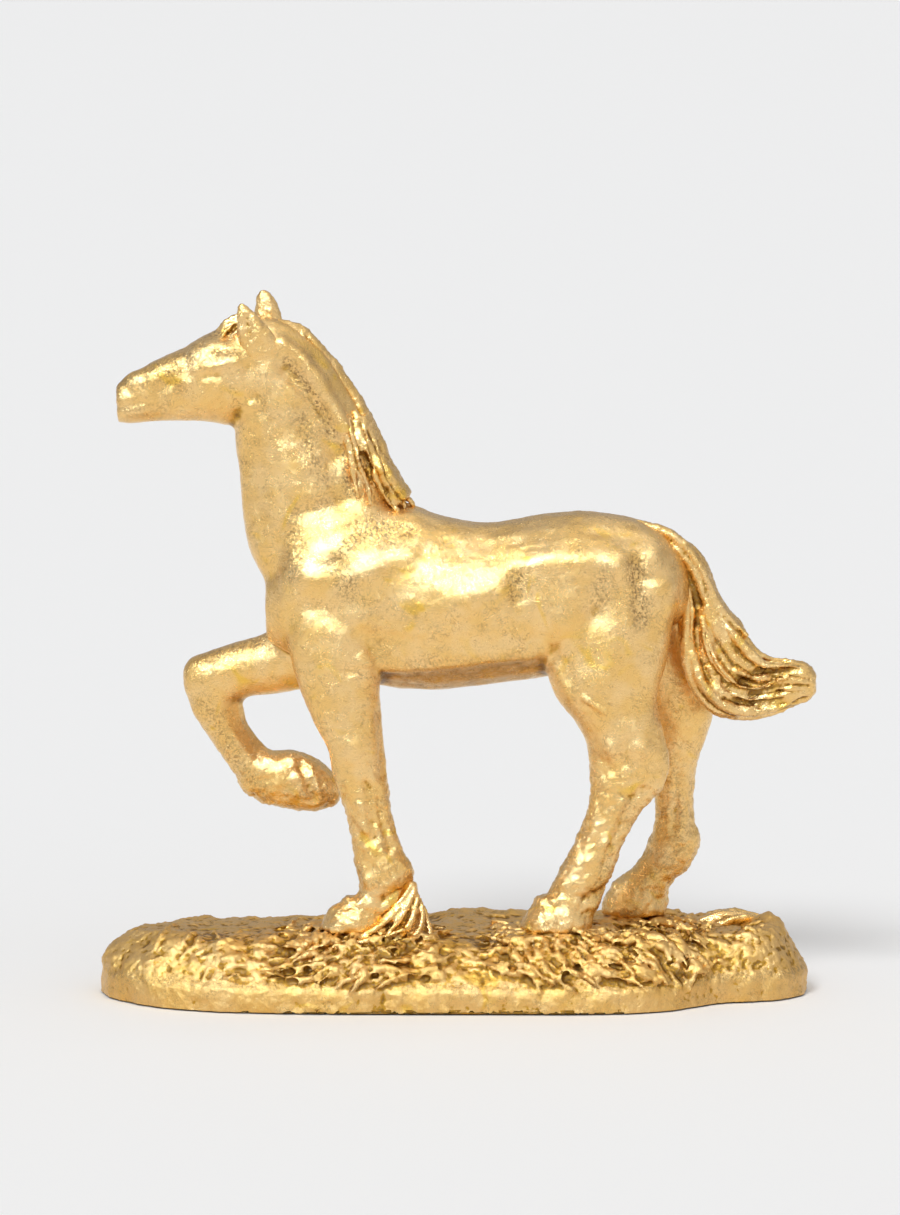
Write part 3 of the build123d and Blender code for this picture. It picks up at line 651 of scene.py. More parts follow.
def gold_leaf(name, wear, wrinkle, dull=0.0, glaze=0.0):
    """Gold leaf with so much wear, wrinkling, added dullness and amber glaze."""
    material = plain_material(name, LEAF_GOLD, 0.4, metallic=1.0)
    tree = material.node_tree
    shader = tree.nodes["Principled BSDF"]
    shader.inputs["Coat Weight"].default_value = LACQUER
    shader.inputs["Coat Roughness"].default_value = LACQUER_ROUGHNESS

    def node(kind, **settings):
        made = tree.nodes.new(kind)
        for key, value in settings.items():
            setattr(made, key, value)
        return made

    place = node("ShaderNodeTexCoord").outputs["Object"]

    def noise(scale, detail, roughness=0.55, distortion=0.0):
        made = node("ShaderNodeTexNoise")
        made.inputs["Scale"].default_value = scale
        made.inputs["Detail"].default_value = detail
        made.inputs["Roughness"].default_value = roughness
        made.inputs["Distortion"].default_value = distortion
        tree.links.new(place, made.inputs["Vector"])
        return made.outputs["Fac"]

    def ramp(value, low, high):
        made = node("ShaderNodeMapRange", interpolation_type="SMOOTHSTEP")
        made.inputs["From Min"].default_value = low
        made.inputs["From Max"].default_value = high
        tree.links.new(value, made.inputs["Value"])
        return made.outputs["Result"]

    def maths(operation, a, b):
        made = node("ShaderNodeMath", operation=operation)
        made.use_clamp = operation not in ("SUBTRACT", "ABSOLUTE")
        for socket, value in zip(made.inputs, (a, b)):
            if isinstance(value, (int, float)):
                socket.default_value = value
            else:
                tree.links.new(value, socket)
        return made.outputs["Value"]

    def mix(share, a, b):
        made = node("ShaderNodeMix", data_type="RGBA")
        for socket_name, value in (("Factor", share), ("A", a), ("B", b)):
            if isinstance(value, (int, float, tuple)):
                made.inputs[socket_name].default_value = value
            else:
                tree.links.new(value, made.inputs[socket_name])
        return made.outputs["Result"]

    # leaves of three golds, laid beside each other in patches
    colour = mix(ramp(noise(130, 3), 0.35, 0.65), LEAF_GOLD, LEAF_PALE)
    colour = mix(ramp(noise(95, 2, distortion=1.0), 0.60, 0.74), colour, LEAF_YELLOW)

    # painted shade: amber in recesses and on undersides, partly pooled varnish; brown in the deepest
    shade_and_glaze = node("ShaderNodeAttribute", attribute_name="shade_and_glaze").outputs["Fac"]
    pooled_and_shaded = maths("ADD", shade_and_glaze, maths("MULTIPLY", maths("SUBTRACT", noise(650, 4, 0.7), 0.5), 0.9))
    colour = mix(maths("ADD", ramp(pooled_and_shaded, 0.40, 1.20), glaze), colour, SHADE_AND_VARNISH_AMBER)
    colour = mix(maths("MULTIPLY", ramp(shade_and_glaze, 0.85, 1.45), 0.8), colour, CREVICE_SHADE_BROWN)

    # the brown ground, speckled through where the leaf is rubbed and where grit has scratched it,
    # # and speckled into the deep recesses as painted shade
    painted = node("ShaderNodeAttribute", attribute_name="rubbed").outputs["Fac"]
    patches = maths("MAXIMUM", painted, maths("MULTIPLY", ramp(noise(80, 4, 0.62, 0.8), 0.56, 0.72), 0.7))
    speckle = ramp(noise(1500, 4, 0.72, 0.6), 0.46, 0.60)
    grit = ramp(noise(620, 5, 0.8), 0.56, 0.66)
    rubbed = maths("MULTIPLY", maths("MULTIPLY", patches, speckle), wear)
    rubbed = maths("MAXIMUM", rubbed, maths("MULTIPLY", maths("MULTIPLY", grit, speckle), 0.6 * wear))
    # painted shade: the deepest recesses are speckled with the brown of the ground
    deep = maths("MULTIPLY", ramp(shade_and_glaze, 0.7, 1.5), speckle)
    rubbed = maths("MAXIMUM", rubbed, maths("MULTIPLY", deep, 0.8))

    # brown hair lines along the torn edges of the leaves
    contour = maths("ABSOLUTE", maths("SUBTRACT", noise(420, 4, 0.6, 0.8), 0.5), 0)
    edges = maths("SUBTRACT", 1.0, ramp(contour, 0.0, 0.022))
    edges = maths("MULTIPLY", edges, ramp(noise(160, 3), 0.42, 0.62))
    rubbed = maths("MAXIMUM", rubbed, maths("MULTIPLY", edges, 0.55))
    colour = mix(rubbed, colour, GROUND_AND_SHADE_BROWN)
    tree.links.new(colour, shader.inputs["Base Color"])

    # burnished on sound leaf and scuffed where it is worn
    uneven = ramp(noise(420, 3), 0.3, 0.75)
    roughness = node("ShaderNodeMapRange")
    roughness.inputs["To Min"].default_value = BURNISHED + dull
    roughness.inputs["To Max"].default_value = SCUFFED + dull
    tree.links.new(maths("MAXIMUM", uneven, rubbed), roughness.inputs["Value"])
    tree.links.new(roughness.outputs["Result"], shader.inputs["Roughness"])

    # folds of the leaf, the grain of the ground under it, and the step at each torn edge
    creases = node("ShaderNodeTexNoise", noise_type="RIDGED_MULTIFRACTAL")
    creases.inputs["Scale"].default_value = 700
    creases.inputs["Detail"].default_value = 3
    tree.links.new(place, creases.inputs["Vector"])
    folds = maths("MULTIPLY", creases.outputs["Fac"], 0.22)
    grain = maths("MULTIPLY", noise(1900, 4, 0.75), 0.65)
    relief = maths("SUBTRACT", maths("ADD", folds, grain), maths("MULTIPLY", edges, 0.12))
    bump = node("ShaderNodeBump")
    bump.inputs["Strength"].default_value = wrinkle
    bump.inputs["Distance"].default_value = LEAF_RELIEF
    tree.links.new(relief, bump.inputs["Height"])
    tree.links.new(bump.outputs["Normal"], shader.inputs["Normal"])
    tree.links.new(bump.outputs["Normal"], shader.inputs["Coat Normal"])
    return material


horse_gold = gold_leaf("gold_leaf_horse", wear=0.90, wrinkle=0.85)

# The angle past which an edge stays crisp.
CRISP_EDGE = math.radians(50)


def capped(piece):
    """Closes the open ends that the saw left with flat faces, with crisp edges."""
    picked_up(piece)
    bpy.ops.object.mode_set(mode="EDIT")
    bpy.ops.mesh.select_mode(type="VERT")
    bpy.ops.mesh.select_all(action="SELECT")
    bpy.ops.mesh.fill_holes(sides=0)
    bpy.ops.mesh.normals_make_consistent(inside=False)
    bpy.ops.object.mode_set(mode="OBJECT")
    bpy.ops.object.shade_smooth_by_angle(angle=CRISP_EDGE)


def gilded(piece, name, leaf, node_name):
    """Names a finished piece, lays the leaf on it and sets it in the frame for its CAD node."""
    piece.name = name
    piece.data.name = name
    piece.data.materials.clear()
    piece.data.materials.append(leaf)
    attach(piece, "root")
    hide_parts(node_name)


def middle_of(piece):
    """The middle of the box around a piece."""
    return sum((Vector(corner) for corner in piece.bound_box), Vector()) / 8


# A sawn piece is told from the others by where its middle lies.
CASTINGS = (
    "torso_casting", "neck_casting", "head_casting", "foreleg_left", "foreleg_right",
    "hind_leg_left", "hind_leg_right",
)
for node_name in CASTINGS:
    low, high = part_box(node_name)
    casting = min(sawn, key=lambda piece: (middle_of(piece) - (low + high) / 2).length)
    sawn.remove(casting)
    capped(casting)
    gilded(casting, node_name + "_gilded", horse_gold, node_name)
for crumb in sawn:
    bpy.data.objects.remove(crumb)


# --------------------------------------------------------------------- the base
# A hollow casting with a plain rolled rim, rough ground above it and matted grass combed over
# the slope, gilded like the horse but duller. A recess below takes the board and the felt.

# The outline on the table, as x, y points, and heights in millimetres.
SHORE = [
    (-86.5, 0), (-82.4, -12), (-71, -22.5), (-55, -28), (-30, -30.2), (0, -30.4), (36, -30.2), (50, -26),
    (61, -17.5), (71, -14.5), (79.4, -10.5), (84, -1), (82.8, 9), (76, 19), (62, 26), (42, 29.8),
    (18, 30.8), (-8, 31), (-32, 30.5), (-56, 28), (-73, 23), (-82.5, 13),
]
RIM = 6.5
FOOT = 0.4
FELT_ROOM = 0.9
RIM_WALL = 1.2
# The ground is built up from below the foot, so that the foot can be cut off flat.
BUILT_FROM = -0.6
GROUND_LEVELS = [
    # height, left and right end, share of the width
    (RIM - 1.0, -86.9, 83.8, 0.99), (RIM, -86.8, 83.4, 0.96), (8.0, -86.6, 82.4, 0.915),
    (10.0, -86.2, 81.2, 0.85), (12.0, -83.4, 79.8, 0.77), (14.0, -80.4, 78.4, 0.67),
    (15.6, -77.8, 76.8, 0.56),
]
MOUNDS = [
    # x, y, reach and height of each swelling of the ground
    (1, 20, 12, 1.7), (13, 20, 8, 1.0), (30, 18, 12, 1.0), (62, 14, 9, 0.6), (76, 6, 5, 3.2),
    (51, 15, 3.5, 1.8), (-26, -12, 7, 1.2), (24, -11, 8, 1.4), (43, 11, 9, 1.4), (-62, 12, 12, 0.2),
    (-44, 20, 8, 0.1), (-76, -4, 6, 0.8), (8, -18, 7, -0.9), (-36, -20, 8, -0.6), (-69, -14, 6, 1.8),
    (-57, -18, 6, 1.4), (-80, 0, 4, 0.6), (-74, 6, 7, -0.2), (-46, -17, 5, 1.2), (6, -20, 9, 1.0),
    (70, -8, 5, 1.2),
]
GROUND_LUMPS = [(6 * MM, 1.3 * MM), (1.6 * MM, 0.45 * MM)]
MAT_LUMPS = [(2.6 * MM, 1.0 * MM), (0.9 * MM, 0.9 * MM)]
RIM_LUMPS = [(9 * MM, 1.2 * MM), (3.5 * MM, 0.7 * MM), (1.1 * MM, 0.35 * MM)]
MATS = [
    # x, y, reach along and across, and depth of the amber in each mat of grass: pooled varnish and painted
    # shade among the blades
    (-25, -16, 17, 12, 0.95), (30, -16, 26, 12, 0.75), (-52, -12, 12, 9, 0.45), (66, -4, 12, 10, 0.55),
    (-70, 2, 8, 6, 0.20),
]
GROUND_GRAIN = 0.45 * MM
MOST_TRIANGLES = 190000
# Where the rim is rubbed: side, width, strength and route, as on the horse.
RIM_RUBBED = [("near", 1.5, 0.65, [(-84, 6.6), (84, 6.6)]), ("near", 4.0, 0.15, [(-84, 3), (84, 3)])]

closed_shore = SHORE[-1:] + SHORE + SHORE[:2]
outline = eased(closed_shore, 4)[4:-8]
bpy.ops.object.select_all(action="DESELECT")
bpy.ops.mesh.primitive_circle_add(vertices=len(outline), radius=0.1, fill_type="NGON", location=(0, 0, 0))
base = bpy.context.object
for vertex, (x, y) in zip(base.data.vertices, outline):
    vertex.co = Vector((x, y, BUILT_FROM)) * MM
bpy.ops.object.mode_set(mode="EDIT")
bpy.ops.mesh.select_all(action="SELECT")
shore_ends = [x for x, y in SHORE]
levels = [(BUILT_FROM, min(shore_ends), max(shore_ends), 1.0)] + GROUND_LEVELS
for lower_level, upper_level in zip(levels, levels[1:]):
    height, left, right, across = lower_level
    next_height, next_left, next_right, next_across = upper_level
    bpy.ops.mesh.extrude_region_move(TRANSFORM_OT_translate={"value": (0, 0, (next_height - height) * MM)})
    shorter = (next_right - next_left) / (right - left)
    middle = (next_left - shorter * left) / (1 - shorter)
    bpy.ops.transform.resize(
        value=(shorter, next_across / across, 1), center_override=(middle * MM, 0, next_height * MM),
    )
bpy.ops.mesh.select_all(action="SELECT")
bpy.ops.mesh.normals_make_consistent(inside=False)
bpy.ops.object.mode_set(mode="OBJECT")
kneaded(base, CLAY_GRAIN, 2)
ground = vertex_places(base)
above_rim = smooth_step(ground[:, 2], RIM - 1, RIM + 4)
for x, y, reach, rise in MOUNDS:
    away_from = np.hypot(ground[:, 0] - x, ground[:, 1] - y)
    ground[:, 2] += rise * np.exp(-((away_from / reach) ** 2)) * above_rim
set_places(base, ground)

# One blade of grass: a strip that narrows to a tip and droops. It is copied with a curl of its own.
BLADE_LONG = 5.6
BLADE_WIDE = 1.05
BLADE_THICK = 0.8
BLADE_COUNT = 1150
# How much narrower each length of the blade is than the one before.
BLADE_TAPER = (1.1, 0.95, 0.7, 0.3)
blade_step = BLADE_LONG / (len(BLADE_TAPER) + 1)
bpy.ops.object.select_all(action="DESELECT")
bpy.ops.mesh.primitive_cylinder_add(
    vertices=6, radius=0.5 * MM, depth=blade_step * MM, rotation=(0, math.radians(90), 0),
)
blade = bpy.context.object
bpy.ops.object.transform_apply(location=True, rotation=True, scale=True)
bpy.ops.object.mode_set(mode="EDIT")
bpy.ops.mesh.select_all(action="SELECT")
bpy.ops.transform.resize(value=(1, BLADE_WIDE, BLADE_THICK), center_override=(0, 0, 0))
bpy.ops.mesh.select_mode(type="FACE")
for share in BLADE_TAPER:
    bpy.ops.mesh.select_all(action="DESELECT")
    bpy.ops.object.mode_set(mode="OBJECT")
    tip = max(blade.data.polygons, key=lambda face: face.center.x * (face.normal.x > 0.5))
    tip.select = True
    where = tip.center.copy()
    bpy.ops.object.mode_set(mode="EDIT")
    step = Vector((blade_step, 0, -0.4 * (1.3 - share))) * MM
    bpy.ops.mesh.extrude_region_move(TRANSFORM_OT_translate={"value": step})
    bpy.ops.transform.resize(value=(1, share, share), center_override=where + step)
bpy.ops.object.mode_set(mode="OBJECT")

# The blades lie thick in two stretches of the near slope and loose elsewhere, none at the ends.
MATTED_STRETCHES = ((-42, -6), (8, 58))
BARE_ENDS = 72
LOOSE_BLADES = 0.10
dice = random.Random(7)
blades = []
ground_normals = vertex_normals(base)
upper = ground[:, 2] > RIM + 1.2
spots = ground[upper]
leanings = ground_normals[upper]
while len(blades) < BLADE_COUNT:
    pick = dice.randrange(len(spots))
    x, y, z = spots[pick]
    in_stretch = any(start < x < end for start, end in MATTED_STRETCHES)
    matted = in_stretch and y < 2 and (x / 3 - y) % 9 > 1
    if not matted and (dice.random() > LOOSE_BLADES or abs(x) > BARE_ENDS):
        continue
    normal = Vector(leanings[pick])
    combed = 35 if x < 0 else -32
    wave = 24 * math.sin(x * 0.19 + 0.8) + 16 * math.sin(y * 0.33)
    sweep = math.radians(combed + wave + dice.uniform(-30, 30))
    if dice.random() < 0.4:
        sweep += math.pi
    forward = Vector((math.cos(sweep), math.sin(sweep), 0))
    forward = (forward - normal * forward.dot(normal)).normalized()
    forward = (forward + normal * dice.uniform(-0.02, 0.24 if matted else 0.02)).normalized()
    sideways = normal.cross(forward).normalized()
    turn = Matrix((forward, sideways, forward.cross(sideways))).transposed().to_4x4()
    grow = dice.uniform(0.65, 1.2)
    lift = dice.uniform(0.0, 1.8 if matted else 0.3)
    curl = dice.uniform(-0.06, 0.06) / MM
    copy = bpy.data.objects.new("blade", blade.data.copy())
    for vertex in copy.data.vertices:
        vertex.co.y += curl * vertex.co.x**2
    stand = Matrix.Translation(Vector((x, y, z)) * MM + normal * lift * MM)
    copy.data.transform(stand @ turn @ Matrix.Scale(grow, 4))
    bpy.context.scene.collection.objects.link(copy)
    blades.append(copy)
bpy.data.objects.remove(blade)

base = joined("ground", [base] + blades)
kneaded(base, GROUND_GRAIN, 1)
base = kept_whole(base)
painted_group(base, "rough", smooth_step(vertex_places(base)[:, 2], RIM - 0.5, RIM + 2.5))
lumped(base, GROUND_LUMPS, "rough")


def mat_spreads(ground):
    """The depth of each mat of grass, and how fully it covers each point of the ground."""
    for x, y, along, across, depth in MATS:
        yield depth, np.exp(-(((ground[:, 0] - x) / along) ** 2) - ((ground[:, 1] - y) / across) ** 2)


ground = vertex_places(base)
matting = np.zeros(len(ground))
for depth, spread in mat_spreads(ground):
    matting = np.maximum(matting, min(1, 0.35 + depth) * spread)
painted_group(base, "matted", matting * smooth_step(ground[:, 2], RIM - 0.5, RIM + 1.5))
lumped(base, MAT_LUMPS, "matted")
lumped(base, RIM_LUMPS)
bpy.ops.object.mode_set(mode="EDIT")
bpy.ops.mesh.select_all(action="SELECT")
bpy.ops.mesh.bisect(plane_co=(0, 0, FOOT * MM), plane_no=(0, 0, 1), use_fill=True, clear_inner=True)
bpy.ops.mesh.select_mode(type="FACE")
bpy.ops.mesh.inset(thickness=RIM_WALL * MM, depth=0)
bpy.ops.transform.translate(value=(0, 0, FELT_ROOM * MM))
bpy.ops.object.mode_set(mode="OBJECT")
triangles = sum(len(face.vertices) - 2 for face in base.data.polygons)
worked(base, "DECIMATE", ratio=min(1.0, MOST_TRIANGLES / triangles))

# Amber is painted all over the ground, most of all in the mats of grass: pooled varnish, and painted shade
# among the blades.
ground = vertex_places(base)
pooled_and_shaded = np.full(len(ground), 0.12)
for depth, spread in mat_spreads(ground):
    pooled_and_shaded += depth * spread
mark_shade_and_glaze(base, rounds=30, depth=0.26, glaze=pooled_and_shaded * smooth_step(ground[:, 2], RIM - 2, RIM + 1))
rubbed(base, RIM_RUBBED)
bpy.ops.object.shade_smooth_by_angle(angle=CRISP_EDGE)
ground_gold = gold_leaf("gold_leaf_ground", wear=0.90, wrinkle=1.00, dull=0.16, glaze=0.36)
gilded(base, "base_gilded", ground_gold, "base_casting")


# ------------------------------------------------------------- the tufts of grass
# Two tufts, one behind the near fore hoof and one at the back of the ground, each made of thin
# rolls of clay laid over each other on a core, pressed together, cast and gilded. The hair of
# the horse is made in the same way.

HAIR_GRAIN = 0.42 * MM
HAIR_LUMPS = [(3.0 * MM, 0.5 * MM), (1.2 * MM, 0.3 * MM), (0.6 * MM, 0.2 * MM)]
HAIR_GLAZE = 0.2
HAIR_EDGE = math.radians(60)
hair_gold = gold_leaf("gold_leaf_hair", wear=0.70, wrinkle=0.80)


def lock_of_hair(route, thick):
    """One roll of clay along a route of x, y, z points, thickest a third of the way down."""
    curve = bpy.data.curves.new("lock", "CURVE")
    curve.dimensions = "3D"
    curve.bevel_depth = MM
    curve.bevel_resolution = 3
    curve.resolution_u = 6
    curve.use_fill_caps = True
    spline = curve.splines.new("NURBS")
    spline.points.add(len(route) - 1)
    for index, (point, (x, y, z)) in enumerate(zip(spline.points, route)):
        share = index / (len(route) - 1)
        point.co = (x * MM, y * MM, z * MM, 1)
        point.radius = thick * (0.45 + 0.55 * math.sin(math.pi * min(1, 0.25 + share * 0.85)))
    spline.use_endpoint_u = True
    spline.order_u = 3
    roll = bpy.data.objects.new("lock", curve)
    bpy.context.scene.collection.objects.link(roll)
    picked_up(roll)
    bpy.ops.object.convert(target="MESH")
    return bpy.context.object


def hair_piece(node_name, locks, cores, grooves=()):
    """A bundle of locks over cores of clay, pressed into one casting, combed and gilded."""
    name = node_name + "_gilded"
    parts = [drawn_clay(name + "_core", core, sides=16) for core in cores]
    parts += [lock_of_hair(route, thick) for route, thick in locks]
    hair = joined(name, parts)
    kneaded(hair, HAIR_GRAIN, 1)
    tooled(hair, grooves)
    lumped(hair, HAIR_LUMPS)
    hair = kept_whole(hair)
    mark_shade_and_glaze(hair, rounds=24, depth=0.4, glaze=HAIR_GLAZE)
    bpy.ops.object.shade_smooth_by_angle(angle=HAIR_EDGE)
    gilded(hair, name, hair_gold, node_name)


# A core is a list of ovals, as in the horse. A lock is its route of x, y, z points and thickness.
TUFT_FORE_CORE = [
    (-15.5, -11.5, 14.5, 90, 4.8, 4.2), (-13.8, -11.5, 20, 86, 4.2, 3.2),
    (-12.2, -11.5, 26, 84, 2.3, 1.8), (-11.6, -11.5, 29, 84, 1.2, 1.2),
]
TUFT_FORE_BLADES = [
    ([(-26, -17.6, 15), (-21.6, -17.6, 17.6), (-17, -16.4, 20.4), (-12.4, -13.8, 24.8)], 0.9),
    ([(-23, -16, 15), (-19, -16, 19.4), (-15, -14.6, 23.4), (-11.4, -12.4, 28.4)], 1.0),
    ([(-20, -16.4, 14), (-16.4, -16.6, 18), (-12.8, -15.2, 22.6), (-10.6, -12.6, 27.6)], 0.9),
    ([(-17, -17.4, 14), (-13.4, -17, 17.4), (-10.8, -15, 21.4), (-10, -12.2, 26)], 1.0),
    ([(-12.6, -17.4, 14), (-9.8, -16, 17.4), (-8.6, -13.4, 21), (-9.4, -11.2, 25)], 0.9),
    ([(-6.6, -14.4, 14), (-7.4, -12.6, 18), (-8.8, -10.6, 23)], 1.0),
    ([(-9.4, -7, 14), (-9.6, -8, 19), (-10.8, -9.6, 25)], 1.0),
    ([(-18, -7, 14), (-15.6, -7.4, 19), (-12.6, -9, 26)], 1.1),
    ([(-14, -6, 14), (-12.4, -7, 19), (-11.4, -9, 25.6)], 1.0),
    ([(-30, -19.4, 14), (-25, -19.6, 15.4), (-19, -18.6, 16.4), (-13, -18, 18.6)], 0.9),
]
TUFT_HIND_CORE = [(57, 11, 13.4, 0, 2.6, 4.4), (65, 11, 14.4, 0, 3.4, 5.4), (74, 11, 13.4, 0, 2.6, 4)]
TUFT_HIND_BLADES = [
    ([(56, 7.6, 14.6), (61, 8.6, 16.8), (66, 9.6, 17.8), (72, 11, 16.6)], 1.1),
    ([(59, 12, 15), (64.6, 13, 17.2), (70, 13.8, 17.2), (75, 12.8, 15.4)], 1.1),
    ([(57, 14.6, 14.4), (62, 15.6, 17.4), (67.6, 16.2, 17.2)], 1.0),
    ([(61, 5.6, 14.4), (67, 6.4, 17.4), (73, 8, 16.4), (77, 9.6, 13.8)], 1.1),
    ([(58, 9.8, 15), (62.6, 11.4, 17.2), (67, 12.6, 17.8)], 0.9),
]
hair_piece("grass_tuft_fore", TUFT_FORE_BLADES, [TUFT_FORE_CORE])
hair_piece("grass_tuft_hind", TUFT_HIND_BLADES, [TUFT_HIND_CORE])


# --------------------------------------------------------------------- the tail
# The tail is cast in two pieces, the dock with its web of hair and the switch, and pinned
# together. It is carried away from the body and flung out at its end.

TAIL_DOCK_CORE = [
    (42, 0, 111, 350, 3.2, 3), (51.2, 0, 107.8, 325, 3.6, 3.4), (55.8, 0, 103.2, 309, 3.7, 3.6),
    (58.2, 0, 98, 299, 3.5, 3.8), (60, 0, 93, 302, 3.9, 4.2), (63.6, 0, 87.4, 306, 4.8, 4.4),
    (66.4, 0, 83.6, 310, 4, 3.6),
]
TAIL_WEB = [
    (48, 0, 106, 325, 3, 2), (53, 0, 100, 302, 3.6, 2), (55.4, 0, 93, 292, 3.8, 2.4),
    (56.6, 0, 85, 280, 4, 2.6), (58.6, 0, 77, 290, 4, 2.8), (62, 0, 72, 310, 3.4, 2.8),
]
TAIL_DOCK_LOCKS = [
    ([
        (40, -0.6, 114), (48, -1.4, 113), (53.9, -2, 108.6), (58.2, -2.4, 102.4),
        (60.3, -2.6, 97), (63.3, -2.8, 92), (69, -2.8, 87),
    ], 1.5),
    ([
        (49, -2, 107), (53, -2.6, 102.6), (55.4, -2.8, 97.6),
        (55.6, -3, 92), (55.2, -3.4, 86.4), (56.4, -3.6, 80.6),
    ], 0.9),
    ([(46, 2.6, 109.6), (52, 3.2, 106), (56.6, 3.6, 99), (59.4, 3.8, 92), (62, 4, 85)], 1.9),
]
TAIL_DOCK_GROOVES = [
    ("both", 0.6, -0.3, [(47, 111.4), (53, 108.2), (57, 102.6), (59.4, 97), (62.4, 91.6)]),
    ("both", 1.0, -0.8, [(49, 108.4), (53.4, 104), (56, 98.6), (57, 94.6)]),
    ("both", 0.5, -0.3, [(63.4, 92), (67.4, 87.6)]),
]
TAIL_SWITCH_CORE = [
    (60.2, 0, 90, 300, 4.6, 4), (63, 0, 82, 303, 7, 4.8), (68, 0, 75.6, 322, 7.4, 5.2),
    (74.6, 0, 74.2, 350, 6, 5), (80, 0, 75.4, 364, 5.7, 4.6), (83.6, 0, 75.6, 362, 4.6, 3.8),
    (85.6, 0, 75.4, 360, 2.2, 2),
]
TAIL_SWITCH_LOCKS = [
    ([
        (61, -2, 93), (64.6, -3.5, 88.6), (68.8, -4.4, 83.4),
        (73.4, -4.6, 79.6), (79, -4, 80.2), (83.4, -2.5, 78.4),
    ], 1.3),
    ([
        (58, -3.2, 92), (58.8, -4.6, 85), (62.4, -5.6, 78.4),
        (68, -5.8, 74.6), (73.6, -5.4, 75.4), (79, -4.8, 78),
    ], 1.1),
    ([(60, -3, 80), (62, -4, 73), (66, -4, 70.4), (71, -3.6, 70)], 1.8),
    ([
        (55, -3, 86), (56.2, -4.2, 79), (59.6, -5, 73.4), (64.4, -4.8, 69.6),
        (70, -4, 68.4), (76, -3.4, 69.6), (81, -2.8, 72),
    ], 1.5),
    ([
        (54.4, -2.4, 97), (54.4, -3, 90), (53.8, -3.6, 84), (55, -3.8, 77),
        (58.4, -3.8, 71.4), (62, -3.4, 68.4), (67, -3, 67.6),
    ], 1.3),
    ([
        (62.4, -1, 92), (67.2, -1.5, 87.4), (70.4, -1.5, 82.8),
        (75, -1, 80.4), (80, -0.5, 80.8), (83.4, 0, 78),
    ], 1.4),
    ([(62, 2, 91), (65.5, 3.5, 86), (70, 4.5, 81), (76, 4.8, 78.4), (83, 3.8, 77.8)], 1.7),
    ([(59.5, 3, 88), (60, 4.4, 80), (63, 5, 73.4), (70, 5, 71), (80, 3.6, 72)], 1.7),
    ([(56, 0, 75), (59.4, -1, 70), (65, -1, 67.6), (72, -0.6, 67.6), (79, 0, 69.6), (83.4, 0, 72)], 1.5),
]
TAIL_SWITCH_GROOVES = [
    ("both", 0.6, -0.8, [(60.4, 92), (61.6, 86), (65.4, 80.4), (70, 78.4), (76, 79), (81, 79.2)]),
    ("both", 0.55, -0.7, [(58.8, 88), (60.4, 80.6), (64.5, 75.6), (71, 73.8), (79, 75.4), (84, 75)]),
    ("both", 0.6, -0.8, [(63.5, 72.4), (69, 71), (77, 71.8)]),
    ("both", 1.1, -1.5, [(67.6, 76.6), (71.4, 75.8), (75, 76.6)]),
    ("both", 0.8, -1.1, [(69.6, 73), (73, 72.8), (77, 73.8)]),
    ("both", 0.45, -0.5, [(74, 77.6), (79, 77.8), (84, 76.8)]),
    ("both", 0.45, -0.5, [(76, 73.8), (80, 73.6), (84, 74)]),
    ("both", 0.45, -0.5, [(76.5, 70.6), (80, 71), (83, 72)]),
    ("both", 0.45, -0.4, [(72.6, 81), (77, 80.9), (81.6, 80.4)]),
    ("both", 0.5, 0.5, [(66, 79), (70.6, 76.9), (76, 77.4)]),
    ("both", 0.5, 0.5, [(64, 73.6), (69.6, 72), (75, 72.6)]),
]
hair_piece("tail_dock", TAIL_DOCK_LOCKS, [TAIL_DOCK_CORE, TAIL_WEB], TAIL_DOCK_GROOVES)
hair_piece("tail_switch", TAIL_SWITCH_LOCKS, [TAIL_SWITCH_CORE], TAIL_SWITCH_GROOVES)


# --------------------------------------------------------------------- the mane
# The mane is cast in two pieces and brazed on along the neck: the crest, a scalloped ridge that
# is combed over to the far side, and the loose locks that hang on both sides at the withers.

CREST_CORE = [
    (-44, 0, 160.3, 330, 2.5, 2.2), (-39.2, 0.5, 157.4, 322, 4.1, 2.7), (-33.2, 0.8, 150.6, 308, 4.3, 3),
    (-27.4, 0.8, 142.6, 298, 4.3, 3.1), (-24.6, 0.5, 137.8, 296, 4.1, 3.2),
]
CREST_LOCKS = [
    ([(-43.5, 0.2, 162), (-39.2, 0.6, 161.1), (-35.8, 0.8, 158.9), (-33.5, 1, 155.4)], 1.4),
    ([(-37, 0.2, 158.8), (-34.2, 0.6, 157), (-31.9, 1, 153.7), (-30.9, 1.2, 150.6)], 1.4),
    ([(-33, 0.2, 154.4), (-30.1, 0.6, 152.7), (-28.4, 1.2, 148.9), (-27.6, 1.2, 146.8)], 1.4),
    ([(-30, 0.2, 150), (-27.4, 0.6, 148.6), (-25.4, 1.2, 145), (-24.8, 1.2, 142.4)], 1.4),
    ([(-27, 0.2, 145.6), (-24.4, 0.6, 144), (-22.8, 1.2, 141), (-22, 1.2, 138)], 1.3),
    ([(-44, -2, 160.4), (-40, -2.6, 158.6), (-36, -3, 155), (-33.6, -3, 150.6)], 1.0),
    ([(-38, -2.6, 157), (-34, -3.2, 153.4), (-31.4, -3.4, 148.6), (-30.6, -3.6, 144.6)], 1.0),
    ([(-33.6, -2.6, 152), (-30.4, -3.2, 148), (-28, -3.6, 143), (-27.2, -3.8, 139)], 1.0),
]
